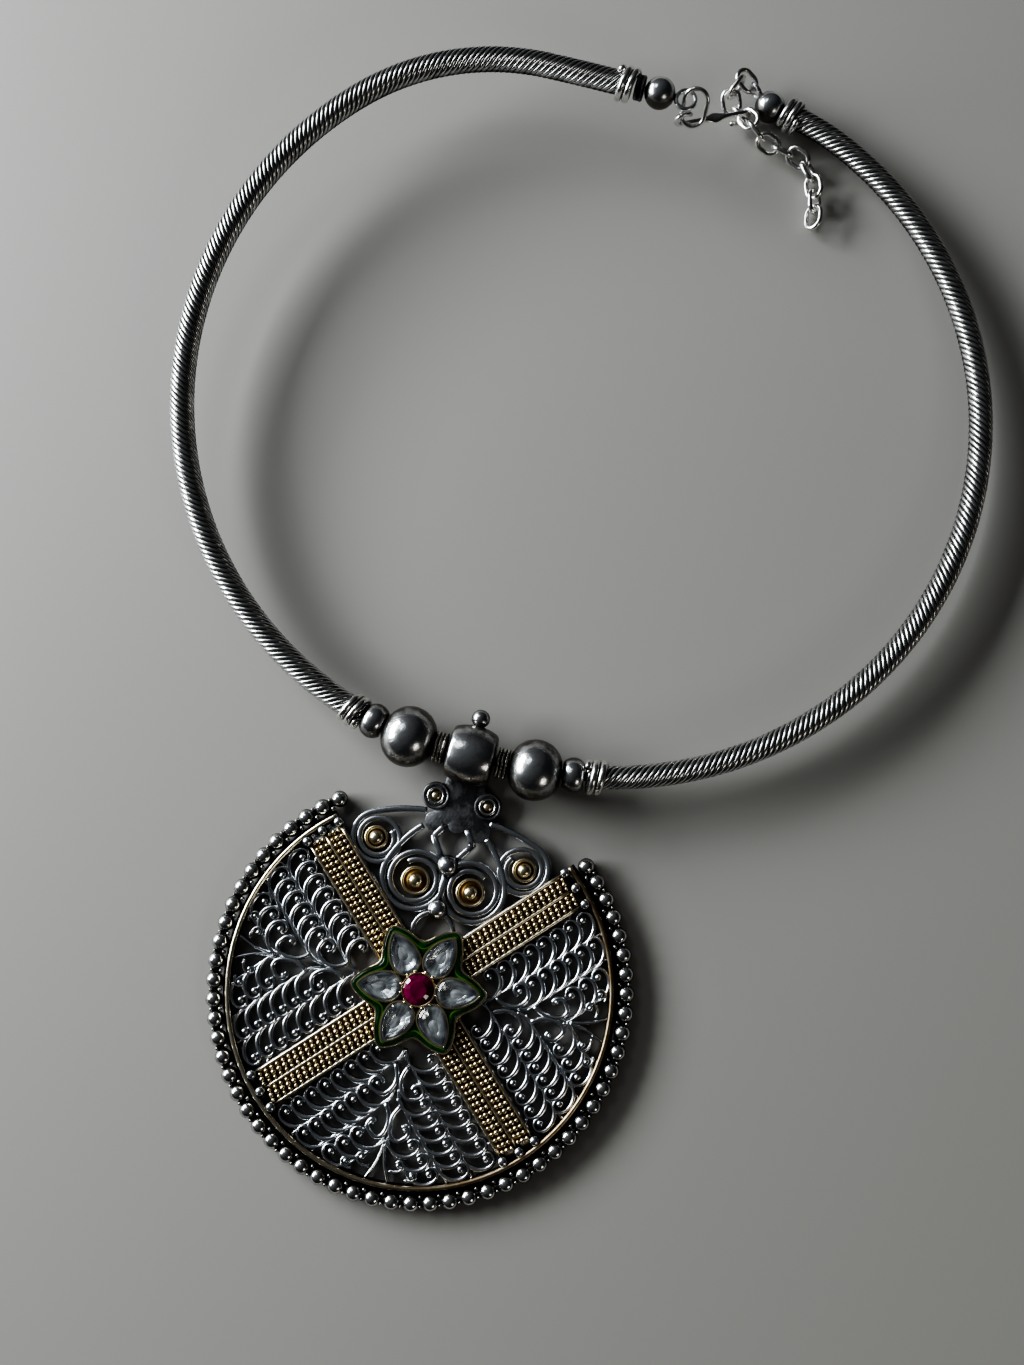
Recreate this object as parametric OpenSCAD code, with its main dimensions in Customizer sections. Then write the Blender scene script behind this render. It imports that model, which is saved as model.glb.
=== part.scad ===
// Hasli necklace: a rigid silver torque in two rope wound halves, strung with beads,
// with a round granulated pendant on a barrel bail and a hook and chain at the back.
// Millimetres, +Z up. It lies on its back, the pendant towards -Y and the clasp towards +Y.

/* [Neck ring] */
// Diameter of the two rope wound tubes
tube_d = 3.9; // [3.6:0.1:3.9]
// Diameter of the plain wire that the front beads are strung on
core_d = 1.5; // [1.3:0.1:1.6]
// Height of that wire above the surface
axis_z = 5; // [5:0.1:5.2]
// Height of the left tube's back end, which springs up
left_end_z = 11.4; // [9:0.2:12]
// Height of the right tube's back end
right_end_z = 3.2; // [3.2:0.1:3.6]

/* [Front beads] */
// Diameter of the two large beads
big_d = 10; // [9.6:0.1:10]
// Length of the large beads along the wire
big_l = 8.4; // [8:0.1:8.6]
// Diameter of the two small beads
small_d = 5.8; // [5.4:0.1:6]
// Diameter of the two spacers beside the bail
spacer_d = 5.3; // [5:0.1:5.6]
// Outer diameter of the coiled end rings
coil_d = 6; // [5.8:0.1:6]

/* [Pendant] */
// Distance from the bail's axis to the pendant's middle
drop = 38.25; // [38:0.05:38.6]
// The small turn that the pendant was soldered on with
pendant_turn = 2.1; // [0:0.1:2.5]
// Outer diameter of the bail's barrel
barrel_d = 9.8; // [9.6:0.1:9.8]
// Length of the barrel
barrel_l = 7.5; // [7.3:0.1:7.6]
// Radius of the pierced frame
frame_r = 31.8; // [31.6:0.1:31.8]
// Thickness of the pierced frame
frame_t = 1.25; // [1.1:0.05:1.25]
// Width of the four crossing arms
arm_w = 6.9; // [6.7:0.1:6.9]
// Number of beads round the border
border_count = 54; // [50:1:54]
// Diameter of a border bead
border_d = 2.6; // [2.4:0.1:2.7]

/* [Flower] */
// Length of a pear stone's pointed end from its widest place
petal_l = 4.6; // [4.3:0.1:4.7]
// Width of a pear stone
petal_w = 4.4; // [4.2:0.1:4.4]
// Diameter of the round middle stone
ruby_d = 4.9; // [4.7:0.1:4.9]

/* [Clasp] */
// Diameter of the two round beads at the back
back_bead_d = 5.2; // [5:0.1:5.3]
// Wire of the chain's links
link_wire = 0.8; // [0.75:0.05:0.8]
// Outside length of a link
link_l = 4.8; // [4.75:0.05:4.85]
// Outside width of a link
link_w = 3.7; // [3.65:0.05:3.75]

/* [Hidden] */
$fn = 64;
gap = 0.05;
overlap = 0.4;
wire_step = 0.06;
flat_step = 0.04;
flat_rise = 0.015;
bore_d = core_d + 0.1;
wide_bore_d = core_d + 0.7;

// Stations along the front wire, measured from the bail's middle
straight_half = 4;
spacer_at = 5.2;
spacer_l = 1.9;
big_at = 10.6;
small_at = 16.8;
small_l = 3.4;
tube_from = 19;
coil_at = 20.3;
coil_wire = 1.3;
bend_left = -57.2;
bend_right = 81.2;

// The tubes in plan: [bend radius, turn in degrees]
left_arcs = [[-60.46, 118.98], [-41.92, 45.31], [-400, 2.09]];
right_arcs = [[61.97, 145.01], [35.59, 14.7]];

// How far the tubes' back ends lie behind the bail, and the tilt that lifts or lowers them
back_reach = 115;
left_tilt = asin((left_end_z - axis_z) / back_reach);
right_tilt = asin((right_end_z - axis_z) / back_reach);

// The middle of the whole necklace in plan, from the bail
middle = [2.94, 27.32];

// Heights in the pendant
frame_z = 0.6;
frame_top = frame_z + frame_t;
band_z = frame_top + gap;
band_t = 0.35;
band_wire = 0.55;
band_top = band_z + band_t / 2 + band_wire / 2 + 0.1;
setting_z = band_top + gap;
setting_floor = setting_z + 0.6;
lip_top = setting_floor + 0.4;
bezel_top = setting_floor + 0.65;
stone_z = setting_floor + gap;

// Sizes in the pendant
arm_half = arm_w / 2;
notch_y = arm_half * sqrt(2);
rim_wire = 0.5;
rim_r = 31;
border_r = 33.25;
border_from = 126.4;
border_step = 5.32;
border_z = border_d / 2;
shot_d = 0.75;
string_d = 0.9;
scroll_z = frame_z + 0.1;
scroll_h = 1.05;
end_ball_d = 1.7;
end_ball_r = 29.85;
end_ball_step = 5.7;
band_from = 5.6;
band_to = end_ball_r - end_ball_d / 2 - 0.1;
band_rows = [-1, 0, 1];
band_pitch = 3.1;
arm_angles = [45, 135, 225, 315];
sector_angles = [180, 270, 0];

// The openings of one filigree half: [outward, sideways, step outward, step sideways, count]
curl_rows = [
    [12.9, 5.6, 1.83, 1.57, 7],
    [15.9, 2.4, 1.70, 1.60, 7],
    [24.4, 3.6, 1.65, 1.70, 3]
];
curl_l = 3.5;
curl_w = 1.25;
curl_tilt = 8;
// The openings on a sector's middle line: [outward, length, width]
almonds = [[12.6, 4, 0.9], [18.7, 4.3, 2.1], [26.7, 3.9, 1.2]];
side_gap = [13.1, 2.4, 2.9, 1.4];
round_gap = [21.5, 2.2, 2.3];

// Scrollwork: where each strand starts, its heading, then [bend radius, turn]
scroll_w = 0.95;
small_strand = [[5.3, 28.1], -3.7, [[-24.6, 20.7], [-4.1, 180], [-3.55, 180], [-3.0, 180], [-2.55, 110]]];
large_strand = [[5.3, 25.6], -42.8, [[-17.3, 27.2], [-5.15, 180], [-4.5, 180], [-3.85, 180], [-3.2, 150]]];
small_centre = [12.4, 22.0];
large_centre = [4.6, 16.6];
small_dome_d = 4;
large_dome_d = 4.8;
dome_shot_d = 2.4;
plate_h = 1;
eyelet_at = [4.35, 30.75];
eyelet_r = 2.3;
lobe_at = [3.5, 26.6];
lobe_r = 1.9;
upper_ball = [0, 20.1, 3.2];
lower_ball = [0, 12.9, 3.0];

// The flower: its turn against the pendant and where a pear is widest
flower_turn = 6.65;
petal_r = 5.1;
petal_count = 6;
web_r = 6.4;
bezel = [0.05, 0.3];
enamel = [0.42, 0.95];
lip = [1.0, 1.25];

// The clasp: stations beyond the end of each tube
back_coil_at = [-1.1, -0.8];
collar_at = 1.35;
collar_l = 1.5;
back_bead_at = [4.8, 3.4];
eye_wire = 0.8;
left_eye_r = 1.6;
right_eye_r = 1.25;
right_eye_turn = -27;
ring_wire = 0.75;
ring_at = [8.6, 114.2, 10.4];
ring_tilt = 50;
hook_wire = 0.85;
hook_at = [7.3, 112.8, 8.8];
hook_turn = 33;
hook_dip = 14;
hook_l = 12;
hook_r = [1.4, 1.6];
hook_curl = 215;

// Where the chain starts, in the right eye, then each link: [x, y, z, roll]
chain_from = [17.96, 124.29, 3.07];
link_at = [
    [16.1, 125.3, 3.8, 5],
    [14.6, 123.5, 4.1, -85],
    [14.4, 121.5, 2.7, 15],
    [16.5, 119.7, 1.9, -75],
    [18.0, 118.8, 3.3, 25],
    [19.8, 116.7, 3.7, -65],
    [22.4, 115.6, 2.6, 35],
    [25.2, 115.5, 1.8, -55],
    [28.0, 114.6, 2.1, 45],
    [30.4, 112.9, 1.8, -45],
    [31.8, 110.3, 1.9, 45],
    [32.6, 107.6, 1.9, -45],
    [33.0, 104.9, 1.9, 45]
];

silver = [0.72, 0.72, 0.70];
dark_silver = [0.45, 0.46, 0.47];
gold = [0.80, 0.66, 0.36];
green = [0.02, 0.35, 0.12];
crystal = [0.85, 0.87, 0.92];
crimson = [0.72, 0.02, 0.28];

// Everything stands round the middle of the necklace
module placed() {
    translate([-middle[0], -middle[1], 0]) children();
}

// One segment of a path: [0, length] is straight, [radius, turn] bends left, or right if negative
module past(segment) {
    radius = segment[0];
    if (radius == 0)
        translate([segment[1], 0, 0]) children();
    else
        translate([0, radius, 0])
            rotate([0, 0, sign(radius) * segment[1]])
                translate([0, -radius, 0]) children();
}

// The turn of a bend over a length, and the second number of a segment of that length
function arc_turn(radius, length) = length / abs(radius) * 180 / PI;
function run(segment, length) = segment[0] == 0 ? length : arc_turn(segment[0], length);

// Children at the end of the first count segments
module along(path, count, from = 0) {
    if (from == count)
        children();
    else
        past(path[from]) along(path, count, from + 1) children();
}

// A round wire along a path
module round_segment(segment, d) {
    radius = segment[0];
    if (radius == 0)
        rotate([0, 90, 0]) cylinder(d = d, h = segment[1]);
    else
        translate([0, radius, 0])
            rotate([0, 0, radius > 0 ? -90 : 90 - segment[1]])
                rotate_extrude(angle = segment[1], $fn = 180)
                    translate([abs(radius), 0]) circle(d = d, $fn = 48);
}

module round_wire(path, d) {
    for (i = [0 : len(path) - 1])
        along(path, i) round_segment(path[i], d);
}

// The same with each segment a hair thinner than the one before and started inside it
module stepped_wire(path, d) {
    for (i = [0 : len(path) - 1]) {
        back = i == 0 ? 0 : run(path[i], overlap);
        along(path, i) past([path[i][0], -back])
            round_segment([path[i][0], path[i][1] + back], d - i * wire_step);
    }
}

// A flat wire on edge along a path, standing on z = 0
module flat_segment(segment, w, h) {
    radius = segment[0];
    if (radius == 0)
        translate([0, -w / 2, 0]) cube([segment[1], w, h]);
    else
        translate([0, radius, 0])
            rotate([0, 0, radius > 0 ? -90 : 90 - segment[1]])
                rotate_extrude(angle = segment[1], $fn = 120)
                    translate([abs(radius) - w / 2, 0]) square([w, h]);
}

module flat_wire(path, w, h) {
    for (i = [0 : len(path) - 1]) {
        back = i == 0 ? 0 : run(path[i], overlap);
        along(path, i) past([path[i][0], -back]) translate([0, 0, i * flat_rise])
            flat_segment([path[i][0], path[i][1] + back], w - i * flat_step, h - 2 * i * flat_rise);
    }
}

// Half of the front wire beyond its straight stretch, as a path that ends at a station
function front_path(side, station) =
    station <= straight_half
        ? [[0, station]]
        : [[0, straight_half],
           [side < 0 ? bend_left : bend_right,
            arc_turn(side < 0 ? bend_left : bend_right, station - straight_half)]];

// Children at a station of the front wire, their X axis pointing outwards along it
module on_front(side, station) {
    path = front_path(side, station);
    translate([0, 0, axis_z])
        rotate([0, 0, side < 0 ? 180 : 0])
            along(path, len(path)) children();
}

// Children in the tilted plane of a tube, at the place where the tube starts
module tube_plane(side) {
    path = front_path(side, tube_from);
    turned = side < 0 ? 180 - arc_turn(bend_left, tube_from - straight_half)
                      : arc_turn(bend_right, tube_from - straight_half);
    start = tube_start(side);
    translate([start[0], start[1], axis_z])
        rotate([side < 0 ? left_tilt : right_tilt, 0, 0])
            rotate([0, 0, turned]) children();
}

function tube_start(side) =
    let (radius = abs(side < 0 ? bend_left : bend_right),
         turned = arc_turn(radius, tube_from - straight_half))
    [side * (straight_half + radius * sin(turned)), radius * (1 - cos(turned))];

function arcs_of(side) = side < 0 ? left_arcs : right_arcs;

// Children beyond the back end of a tube
module on_back(side, station) {
    arcs = concat(arcs_of(side), [[0, station]]);
    tube_plane(side) along(arcs, len(arcs)) children();
}

// A drilled bead: its side is an arc of the given radius, cut flat at both ends
module drilled_bead(d, length, hole, side_r) {
    rotate([0, 90, 0]) rotate_extrude($fn = 96) intersection() {
        translate([d / 2 - side_r, 0]) circle(r = side_r, $fn = 96);
        translate([hole / 2, -length / 2]) square([d, length]);
    }
}

// Turns of wire side by side round a tube's end
module coil(turns, hole) {
    ring_r = (coil_d - coil_wire) / 2;
    pitch = coil_wire * 0.92;
    difference() {
        union() {
            for (i = [0 : turns - 1])
                translate([(i - (turns - 1) / 2) * pitch, 0, 0])
                    rotate([0, 90, 0]) rotate_extrude() translate([ring_r, 0]) circle(d = coil_wire);
        }
        rotate([0, 90, 0]) cylinder(d = hole, h = 10, center = true);
    }
}

// The neck ring's pieces
module core_wire() {
    color(dark_silver) placed() {
        translate([0, 0, axis_z])
            rotate([0, 90, 0]) cylinder(d = core_d, h = 2 * straight_half + overlap, center = true);
        for (side = [-1, 1]) {
            path = front_path(side, tube_from - gap);
            translate([0, 0, axis_z])
                rotate([0, 0, side < 0 ? 180 : 0])
                    along(path, 1) round_segment(path[1], core_d - wire_step);
        }
    }
}

module tube(side) {
    color(silver) placed() tube_plane(side) stepped_wire(arcs_of(side), tube_d);
}

module coil_front(side) {
    color(silver) placed() on_front(side, coil_at) coil(2, tube_d + 0.1);
}

module coil_back(side) {
    color(silver) placed() on_back(side, back_coil_at[side < 0 ? 0 : 1]) coil(2, tube_d + 0.1);
}

module big_bead(side) {
    color(silver) placed() on_front(side, big_at) drilled_bead(big_d, big_l, wide_bore_d, 4.4);
}

module small_bead(side) {
    color(silver) placed() on_front(side, small_at) drilled_bead(small_d, small_l, wide_bore_d, 2.2);
}

// A short ribbed spacer
module spacer(side) {
    color(dark_silver) placed() on_front(side, spacer_at) difference() {
        union() {
            for (x = [-1, 0, 1])
                translate([x * spacer_l / 3, 0, 0])
                    rotate([0, 90, 0]) rotate_extrude()
                        translate([spacer_d / 2 - spacer_l / 6, 0]) circle(d = spacer_l / 3 + 0.1);
            rotate([0, 90, 0]) cylinder(d = spacer_d - 0.8, h = spacer_l, center = true);
        }
        rotate([0, 90, 0]) cylinder(d = wide_bore_d, h = 10, center = true);
    }
}

module collar_back_left() {
    color(dark_silver) placed() on_back(-1, collar_at)
        rotate([0, 90, 0]) cylinder(d = 4.2, h = collar_l, center = true);
}

// A round bead at the open end with its wire eye soldered on
module back_bead(side) {
    r = side < 0 ? left_eye_r : right_eye_r;
    reach = back_bead_d / 2 + r + (side < 0 ? 0.3 : 0.05);
    color(silver) placed() on_back(side, back_bead_at[side < 0 ? 0 : 1]) {
        sphere(d = back_bead_d);
        rotate([0, 0, side < 0 ? 0 : right_eye_turn]) translate([reach, 0, 0])
            rotate([side < 0 ? 0 : 90, 0, 0])
                rotate_extrude() translate([r, 0]) circle(d = eye_wire);
    }
}

// An oval ring that hangs in the left eye
module jump_ring() {
    side_l = 2.3;
    r = 1.95;
    color(silver) placed() translate(ring_at) rotate([ring_tilt, 0, 0]) rotate([0, 0, 90])
        translate([-side_l / 2, -r, 0])
            round_wire([[0, side_l], [r, 180], [0, side_l], [r, 180]], ring_wire);
}

// An S of wire standing on edge that joins the ring to the chain
module s_hook() {
    color(silver) placed() translate(hook_at) rotate([0, hook_dip, hook_turn]) rotate([90, 0, 0])
        translate([0, -hook_r[0], 0]) {
            rotate([0, 0, 180]) round_wire([[-hook_r[0], hook_curl]], hook_wire);
            round_wire([[0, hook_l], [-hook_r[1], hook_curl]], hook_wire);
        }
}

function unit(v) = v / norm(v);
function place(i) = i < 0 ? chain_from : [link_at[i][0], link_at[i][1], link_at[i][2]];
function heading(i) =
    i == 0 ? unit(place(0) - chain_from)
           : unit(place(min(i + 1, len(link_at) - 1)) - place(i - 1));

module link() {
    turn_r = (link_w - link_wire) / 2;
    side_l = link_l - link_w;
    translate([-side_l / 2, -turn_r, 0])
        round_wire([[0, side_l], [turn_r, 180], [0, side_l], [turn_r, 180]], link_wire);
}

module extension_chain() {
    color(silver) placed() for (i = [0 : len(link_at) - 1]) {
        h = heading(i);
        translate(place(i))
            rotate([0, -asin(h[2]), atan2(h[1], h[0])])
                rotate([link_at[i][3], 0, 0]) link();
    }
}

// The pendant's pieces are drawn round its middle and then hung from the bail
module hung() {
    placed() rotate([0, 0, pendant_turn]) translate([0, -drop, 0]) children();
}

// A pointed oval along X, the space that two circles share
module pointed_oval(length, width) {
    r = (length * length + width * width) / (4 * width);
    intersection() {
        translate([0, r - width / 2]) circle(r = r, $fn = 96);
        translate([0, width / 2 - r]) circle(r = r, $fn = 96);
    }
}

// Openings between the curls of one filigree sector, whose middle line is +X
module sector_openings() {
    for (a = almonds)
        translate([a[0], 0]) pointed_oval(a[1], a[2]);
    for (side = [-1, 1]) {
        for (row = curl_rows)
            for (i = [0 : row[4] - 1])
                translate([row[0] + i * row[2], side * (row[1] + i * row[3])])
                    rotate(90 + side * curl_tilt) pointed_oval(curl_l, curl_w);
        translate([side_gap[0], side * side_gap[1]]) pointed_oval(side_gap[2], side_gap[3]);
        translate([round_gap[0], side * round_gap[1]]) circle(d = round_gap[2]);
    }
}

module pierced_plate() {
    reach = frame_r + 5;
    translate([0, 0, frame_z]) linear_extrude(frame_t) difference() {
        circle(r = frame_r, $fn = 180);
        polygon([[0, notch_y], [reach, reach + notch_y], [-reach, reach + notch_y]]);
        for (a = sector_angles)
            rotate(a) sector_openings();
    }
}

module strand(strand, side) {
    start = strand[0];
    mirror([side < 0 ? 1 : 0, 0, 0])
        translate([start[0], start[1], scroll_z])
            rotate([0, 0, strand[1]]) flat_wire(strand[2], scroll_w, scroll_h);
}

// A straight flat bar between two places in plan
module bar(p, q, w, h) {
    d = q - p;
    translate([p[0], p[1], scroll_z]) rotate([0, 0, atan2(d[1], d[0])])
        translate([0, -w / 2, 0]) cube([norm(d), w, h]);
}

module struts(side) {
    joint = [side * 3.3, 24];
    bar([side * 1.8, 26.3], joint, 0.8, scroll_h);
    bar(joint, [side * 1.1, 21], 0.8, scroll_h);
    translate([joint[0], joint[1], scroll_z]) cylinder(d = 0.8, h = scroll_h);
}

// The small arch between the lower ball and the flower
module arch() {
    arch_r = 3.3;
    leg = 2.2;
    translate([-arch_r, 9 - leg, scroll_z]) rotate([0, 0, 90])
        flat_wire([[0, leg], [-arch_r, 180], [0, leg]], 0.6, scroll_h);
}

module shot(p) {
    translate([p[0], p[1], frame_z + 1.05]) rotate([0, 0, 20]) sphere(d = p[2]);
}

module scrollwork() {
    for (side = [-1, 1]) {
        strand(small_strand, side);
        strand(large_strand, side);
        struts(side);
    }
    arch();
    shot(upper_ball);
    shot(lower_ball);
    bar([0, 13], [0, 20], 0.9, scroll_h);
}

// The scalloped plate under the bail, with two raised eyelets
module bail_plate() {
    tongue_top = drop - 3;
    translate([0, 0, frame_z]) linear_extrude(plate_h) {
        for (side = [-1, 1]) {
            translate([side * eyelet_at[0], eyelet_at[1]]) circle(r = eyelet_r);
            translate([side * lobe_at[0], lobe_at[1]]) circle(r = lobe_r);
        }
        translate([0, 27.5]) circle(r = 1.7);
        translate([-4.4, 27]) square([8.8, 6]);
        translate([-3.4, 32.5]) square([6.8, tongue_top - 32.5]);
    }
    for (side = [-1, 1])
        translate([side * eyelet_at[0], eyelet_at[1], frame_z + plate_h]) {
            rotate_extrude() translate([eyelet_r - 0.35, 0]) circle(d = 0.7);
            rotate_extrude() translate([1.25, 0]) circle(d = 0.6);
        }
}

// The barrel turns on the front wire. It swells in its middle
module barrel() {
    side_r = 7.9;
    r = barrel_d / 2;
    half = barrel_l / 2;
    placed() translate([0, 0, axis_z]) difference() {
        union() {
            rotate([0, 90, 0]) rotate_extrude() intersection() {
                translate([r - side_r, 0]) circle(r = side_r, $fn = 120);
                translate([0, -half]) square([r + 1, barrel_l]);
            }
            translate([0, r + 1.2, 0]) sphere(d = 3);
        }
        rotate([0, 90, 0]) cylinder(d = bore_d, h = 20, center = true);
    }
}

module pendant_frame() {
    color(dark_silver) {
        hung() {
            pierced_plate();
            scrollwork();
            bail_plate();
            for (a = arm_angles)
                for (k = band_rows)
                    rotate([0, 0, a + k * end_ball_step])
                        translate([end_ball_r, 0, frame_top + 0.5]) sphere(d = end_ball_d);
        }
        barrel();
    }
}

module border_beads() {
    span = (border_count - 1) * border_step;
    color(silver) hung() {
        for (i = [0 : border_count - 1])
            rotate([0, 0, border_from + i * border_step])
                translate([border_r, 0, border_z]) sphere(d = border_d);
        rotate([0, 0, border_from]) translate([0, 0, border_z])
            rotate_extrude(angle = span, $fn = 180) translate([border_r, 0]) circle(d = string_d);
    }
}

module gold_rim() {
    ends = asin(arm_half / rim_r);
    color(gold) hung() rotate([0, 0, 135 - ends]) translate([0, 0, frame_top + rim_wire / 2 + gap])
        rotate_extrude(angle = 270 + 2 * ends, $fn = 180) translate([rim_r, 0]) circle(d = rim_wire);
}

// A flat gold strip with three plain wires; the grains lie in the two channels between them
module gold_band(i) {
    width = 2 * band_pitch + band_wire;
    length = band_to - band_from;
    color(gold) hung() rotate([0, 0, arm_angles[i - 1]]) translate([band_from, 0, band_z]) {
        translate([0, -width / 2, 0]) cube([length, width, band_t]);
        for (k = band_rows)
            translate([0, k * band_pitch, band_t / 2 + 0.1])
                rotate([0, 90, 0]) cylinder(d = band_wire, h = length);
    }
}

// A gold shot in a low cup with a raised edge, in the eye of a spiral
module gold_dome(centre, side, d) {
    cup_h = 0.8;
    edge = 0.5;
    color(gold) hung() translate([side * centre[0], centre[1], frame_z]) {
        cylinder(d = d, h = cup_h);
        translate([0, 0, cup_h]) {
            rotate_extrude() translate([d / 2 - 0.3, 0]) circle(d = edge);
            intersection() {
                sphere(d = dome_shot_d);
                cylinder(d = d, h = d);
            }
        }
    }
}

module eyelet_studs() {
    color(gold) hung() for (side = [-1, 1])
        translate([side * eyelet_at[0], eyelet_at[1], frame_z + plate_h + gap])
            cylinder(d = 1.6, h = 0.4);
}

// A pear outline grown by t, its round end at the origin and its point along +X
module pear(t) {
    r = (petal_l * petal_l + petal_w * petal_w / 4) / petal_w;
    circle(r = petal_w / 2 + t);
    intersection() {
        translate([0, r - petal_w / 2]) circle(r = r + t, $fn = 120);
        translate([0, petal_w / 2 - r]) circle(r = r + t, $fn = 120);
        translate([0, -10]) square([20, 20]);
    }
}

module petals(t) {
    for (i = [0 : petal_count - 1])
        rotate(i * 360 / petal_count) translate([petal_r, 0]) pear(t);
}

// The flower's outline grown by t: the petals and the web that fills the notches between them
module flower_outline(t) {
    petals(t);
    circle(r = web_r + t);
}

module flower_setting() {
    color(gold) hung() rotate([0, 0, flower_turn]) {
        translate([0, 0, frame_top + gap]) cylinder(r = 3, h = setting_z - frame_top);
        translate([0, 0, setting_z]) linear_extrude(setting_floor - setting_z) {
            flower_outline(lip[1]);
        }
        translate([0, 0, setting_floor]) {
            linear_extrude(lip_top - setting_floor) difference() {
                flower_outline(lip[1]);
                flower_outline(lip[0]);
            }
            linear_extrude(bezel_top - setting_floor) difference() {
                for (i = [0 : petal_count - 1])
                    rotate(i * 360 / petal_count) translate([petal_r, 0]) difference() {
                        pear(bezel[1]);
                        pear(bezel[0]);
                    }
                circle(r = ruby_d / 2 + bezel[0]);
            }
            linear_extrude(bezel_top - setting_floor) difference() {
                circle(r = ruby_d / 2 + 0.25);
                circle(r = ruby_d / 2 + bezel[0]);
            }
        }
    }
}

module flower_enamel() {
    color(green) hung() rotate([0, 0, flower_turn]) translate([0, 0, setting_floor + gap])
        linear_extrude(0.35) difference() {
            flower_outline(enamel[1]);
            petals(enamel[0]);
            circle(r = petal_r + 0.4);
        }
}

// A cut stone: a girdle, sloping facets and a flat table
module cut_stone(outline, height) {
    girdle = 0.5;
    hull() {
        linear_extrude(girdle) polygon(outline);
        linear_extrude(height) polygon([for (p = outline) p * 0.55]);
    }
}

// Corners of a pear outline about its own middle
function pear_outline() =
    let (mid = (petal_l - petal_w / 2) / 2)
    concat([for (a = [75 : 30 : 285]) [petal_w / 2 * cos(a) - mid, petal_w / 2 * sin(a)]],
           [[2.5 - mid, -petal_w * 0.37], [petal_l - mid, 0], [2.5 - mid, petal_w * 0.37]]);

module pear_stone(i) {
    mid = (petal_l - petal_w / 2) / 2;
    color(crystal) hung() rotate([0, 0, flower_turn + (i - 1) * 360 / petal_count])
        translate([petal_r + mid, 0, stone_z]) cut_stone(pear_outline(), 1.3);
}

module ruby() {
    corners = 16;
    color(crimson) hung() translate([0, 0, stone_z])
        cut_stone([for (i = [0 : corners - 1])
            ruby_d / 2 * [cos(i * 360 / corners), sin(i * 360 / corners)]], 1.5);
}

core_wire();
tube(-1);  // tube_left
tube(1);  // tube_right
coil_front(-1);  // coil_front_left
coil_front(1);  // coil_front_right
coil_back(-1);  // coil_back_left
coil_back(1);  // coil_back_right
big_bead(-1);  // big_bead_left
big_bead(1);  // big_bead_right
small_bead(-1);  // small_bead_left
small_bead(1);  // small_bead_right
spacer(-1);  // spacer_left
spacer(1);  // spacer_right
collar_back_left();
back_bead(-1);  // bead_back_left
back_bead(1);  // bead_back_right
jump_ring();
s_hook();
extension_chain();
pendant_frame();
border_beads();
gold_rim();
gold_band(1);  // gold_band_1
gold_band(2);  // gold_band_2
gold_band(3);  // gold_band_3
gold_band(4);  // gold_band_4
gold_dome(small_centre, -1, small_dome_d);  // gold_dome_small_left
gold_dome(small_centre, 1, small_dome_d);  // gold_dome_small_right
gold_dome(large_centre, -1, large_dome_d);  // gold_dome_large_left
gold_dome(large_centre, 1, large_dome_d);  // gold_dome_large_right
eyelet_studs();
flower_setting();
flower_enamel();
ruby();
pear_stone(1);  // pear_stone_1
pear_stone(2);  // pear_stone_2
pear_stone(3);  // pear_stone_3
pear_stone(4);  // pear_stone_4
pear_stone(5);  // pear_stone_5
pear_stone(6);  // pear_stone_6
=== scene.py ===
"""Hasli necklace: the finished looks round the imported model.

Sizes are millimetres until a mesh is made. The necklace lies on its back, the pendant towards -Y.
"""
from functools import lru_cache
from math import asin, atan2, ceil, cos, degrees, pi, radians, sin, tan

import bmesh
import bpy
import numpy as np
from mathutils import Euler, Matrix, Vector


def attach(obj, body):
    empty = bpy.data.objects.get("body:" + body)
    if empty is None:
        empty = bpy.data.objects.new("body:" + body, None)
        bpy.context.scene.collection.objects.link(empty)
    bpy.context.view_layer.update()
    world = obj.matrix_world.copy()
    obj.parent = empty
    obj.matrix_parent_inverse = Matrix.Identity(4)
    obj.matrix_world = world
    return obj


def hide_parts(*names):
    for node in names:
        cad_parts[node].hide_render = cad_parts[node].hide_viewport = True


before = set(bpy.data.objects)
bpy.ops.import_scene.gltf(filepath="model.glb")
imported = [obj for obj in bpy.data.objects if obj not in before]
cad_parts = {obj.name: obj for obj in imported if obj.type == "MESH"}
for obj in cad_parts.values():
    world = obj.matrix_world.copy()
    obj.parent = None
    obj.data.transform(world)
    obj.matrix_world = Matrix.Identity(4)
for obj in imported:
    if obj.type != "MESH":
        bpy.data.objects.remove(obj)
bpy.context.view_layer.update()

MM = 0.001
RING, PENDANT = "neck_ring", "pendant"
SIDES = {-1: "left", 1: "right"}
# Points closer than this become one
MERGE = 0.0004
# A step longer than any path
WHOLE = 1e9

# Neck ring: the same driving sizes as in the solids
MIDDLE = (2.94, 27.32)
AXIS_Z = 5.0
CORE_D = 1.5
BORE_D = 1.6
WIDE_BORE_D = 2.2
LEFT_END_Z, RIGHT_END_Z = 11.4, 3.2
BACK_REACH = 115
STRAIGHT_HALF = 4
TUBE_FROM = 19
# The front wire's bends, and the arcs of each tube: radius, turn
BEND = {-1: -57.2, 1: 81.2}
ARCS = {-1: [(-60.46, 118.98), (-41.92, 45.31), (-400, 2.09)], 1: [(61.97, 145.01), (35.59, 14.7)]}
TILT = {
    -1: degrees(asin((LEFT_END_Z - AXIS_Z) / BACK_REACH)),
    1: degrees(asin((RIGHT_END_Z - AXIS_Z) / BACK_REACH)),
}
# How much thinner and shorter the core wire is drawn, and its wear
CORE_THINNER, CORE_SHORTER, CORE_WEAR = 0.06, 0.05, 0.3

# Rope winding of the two tubes: outer diameter, strands, and their lean from the tube's direction
ROPE_D = {-1: 4.04, 1: 3.86}
ROPE_STRANDS = {-1: 10, 1: 9}
ROPE_LEAN = 53
ROPE_STEP = 0.45
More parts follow.
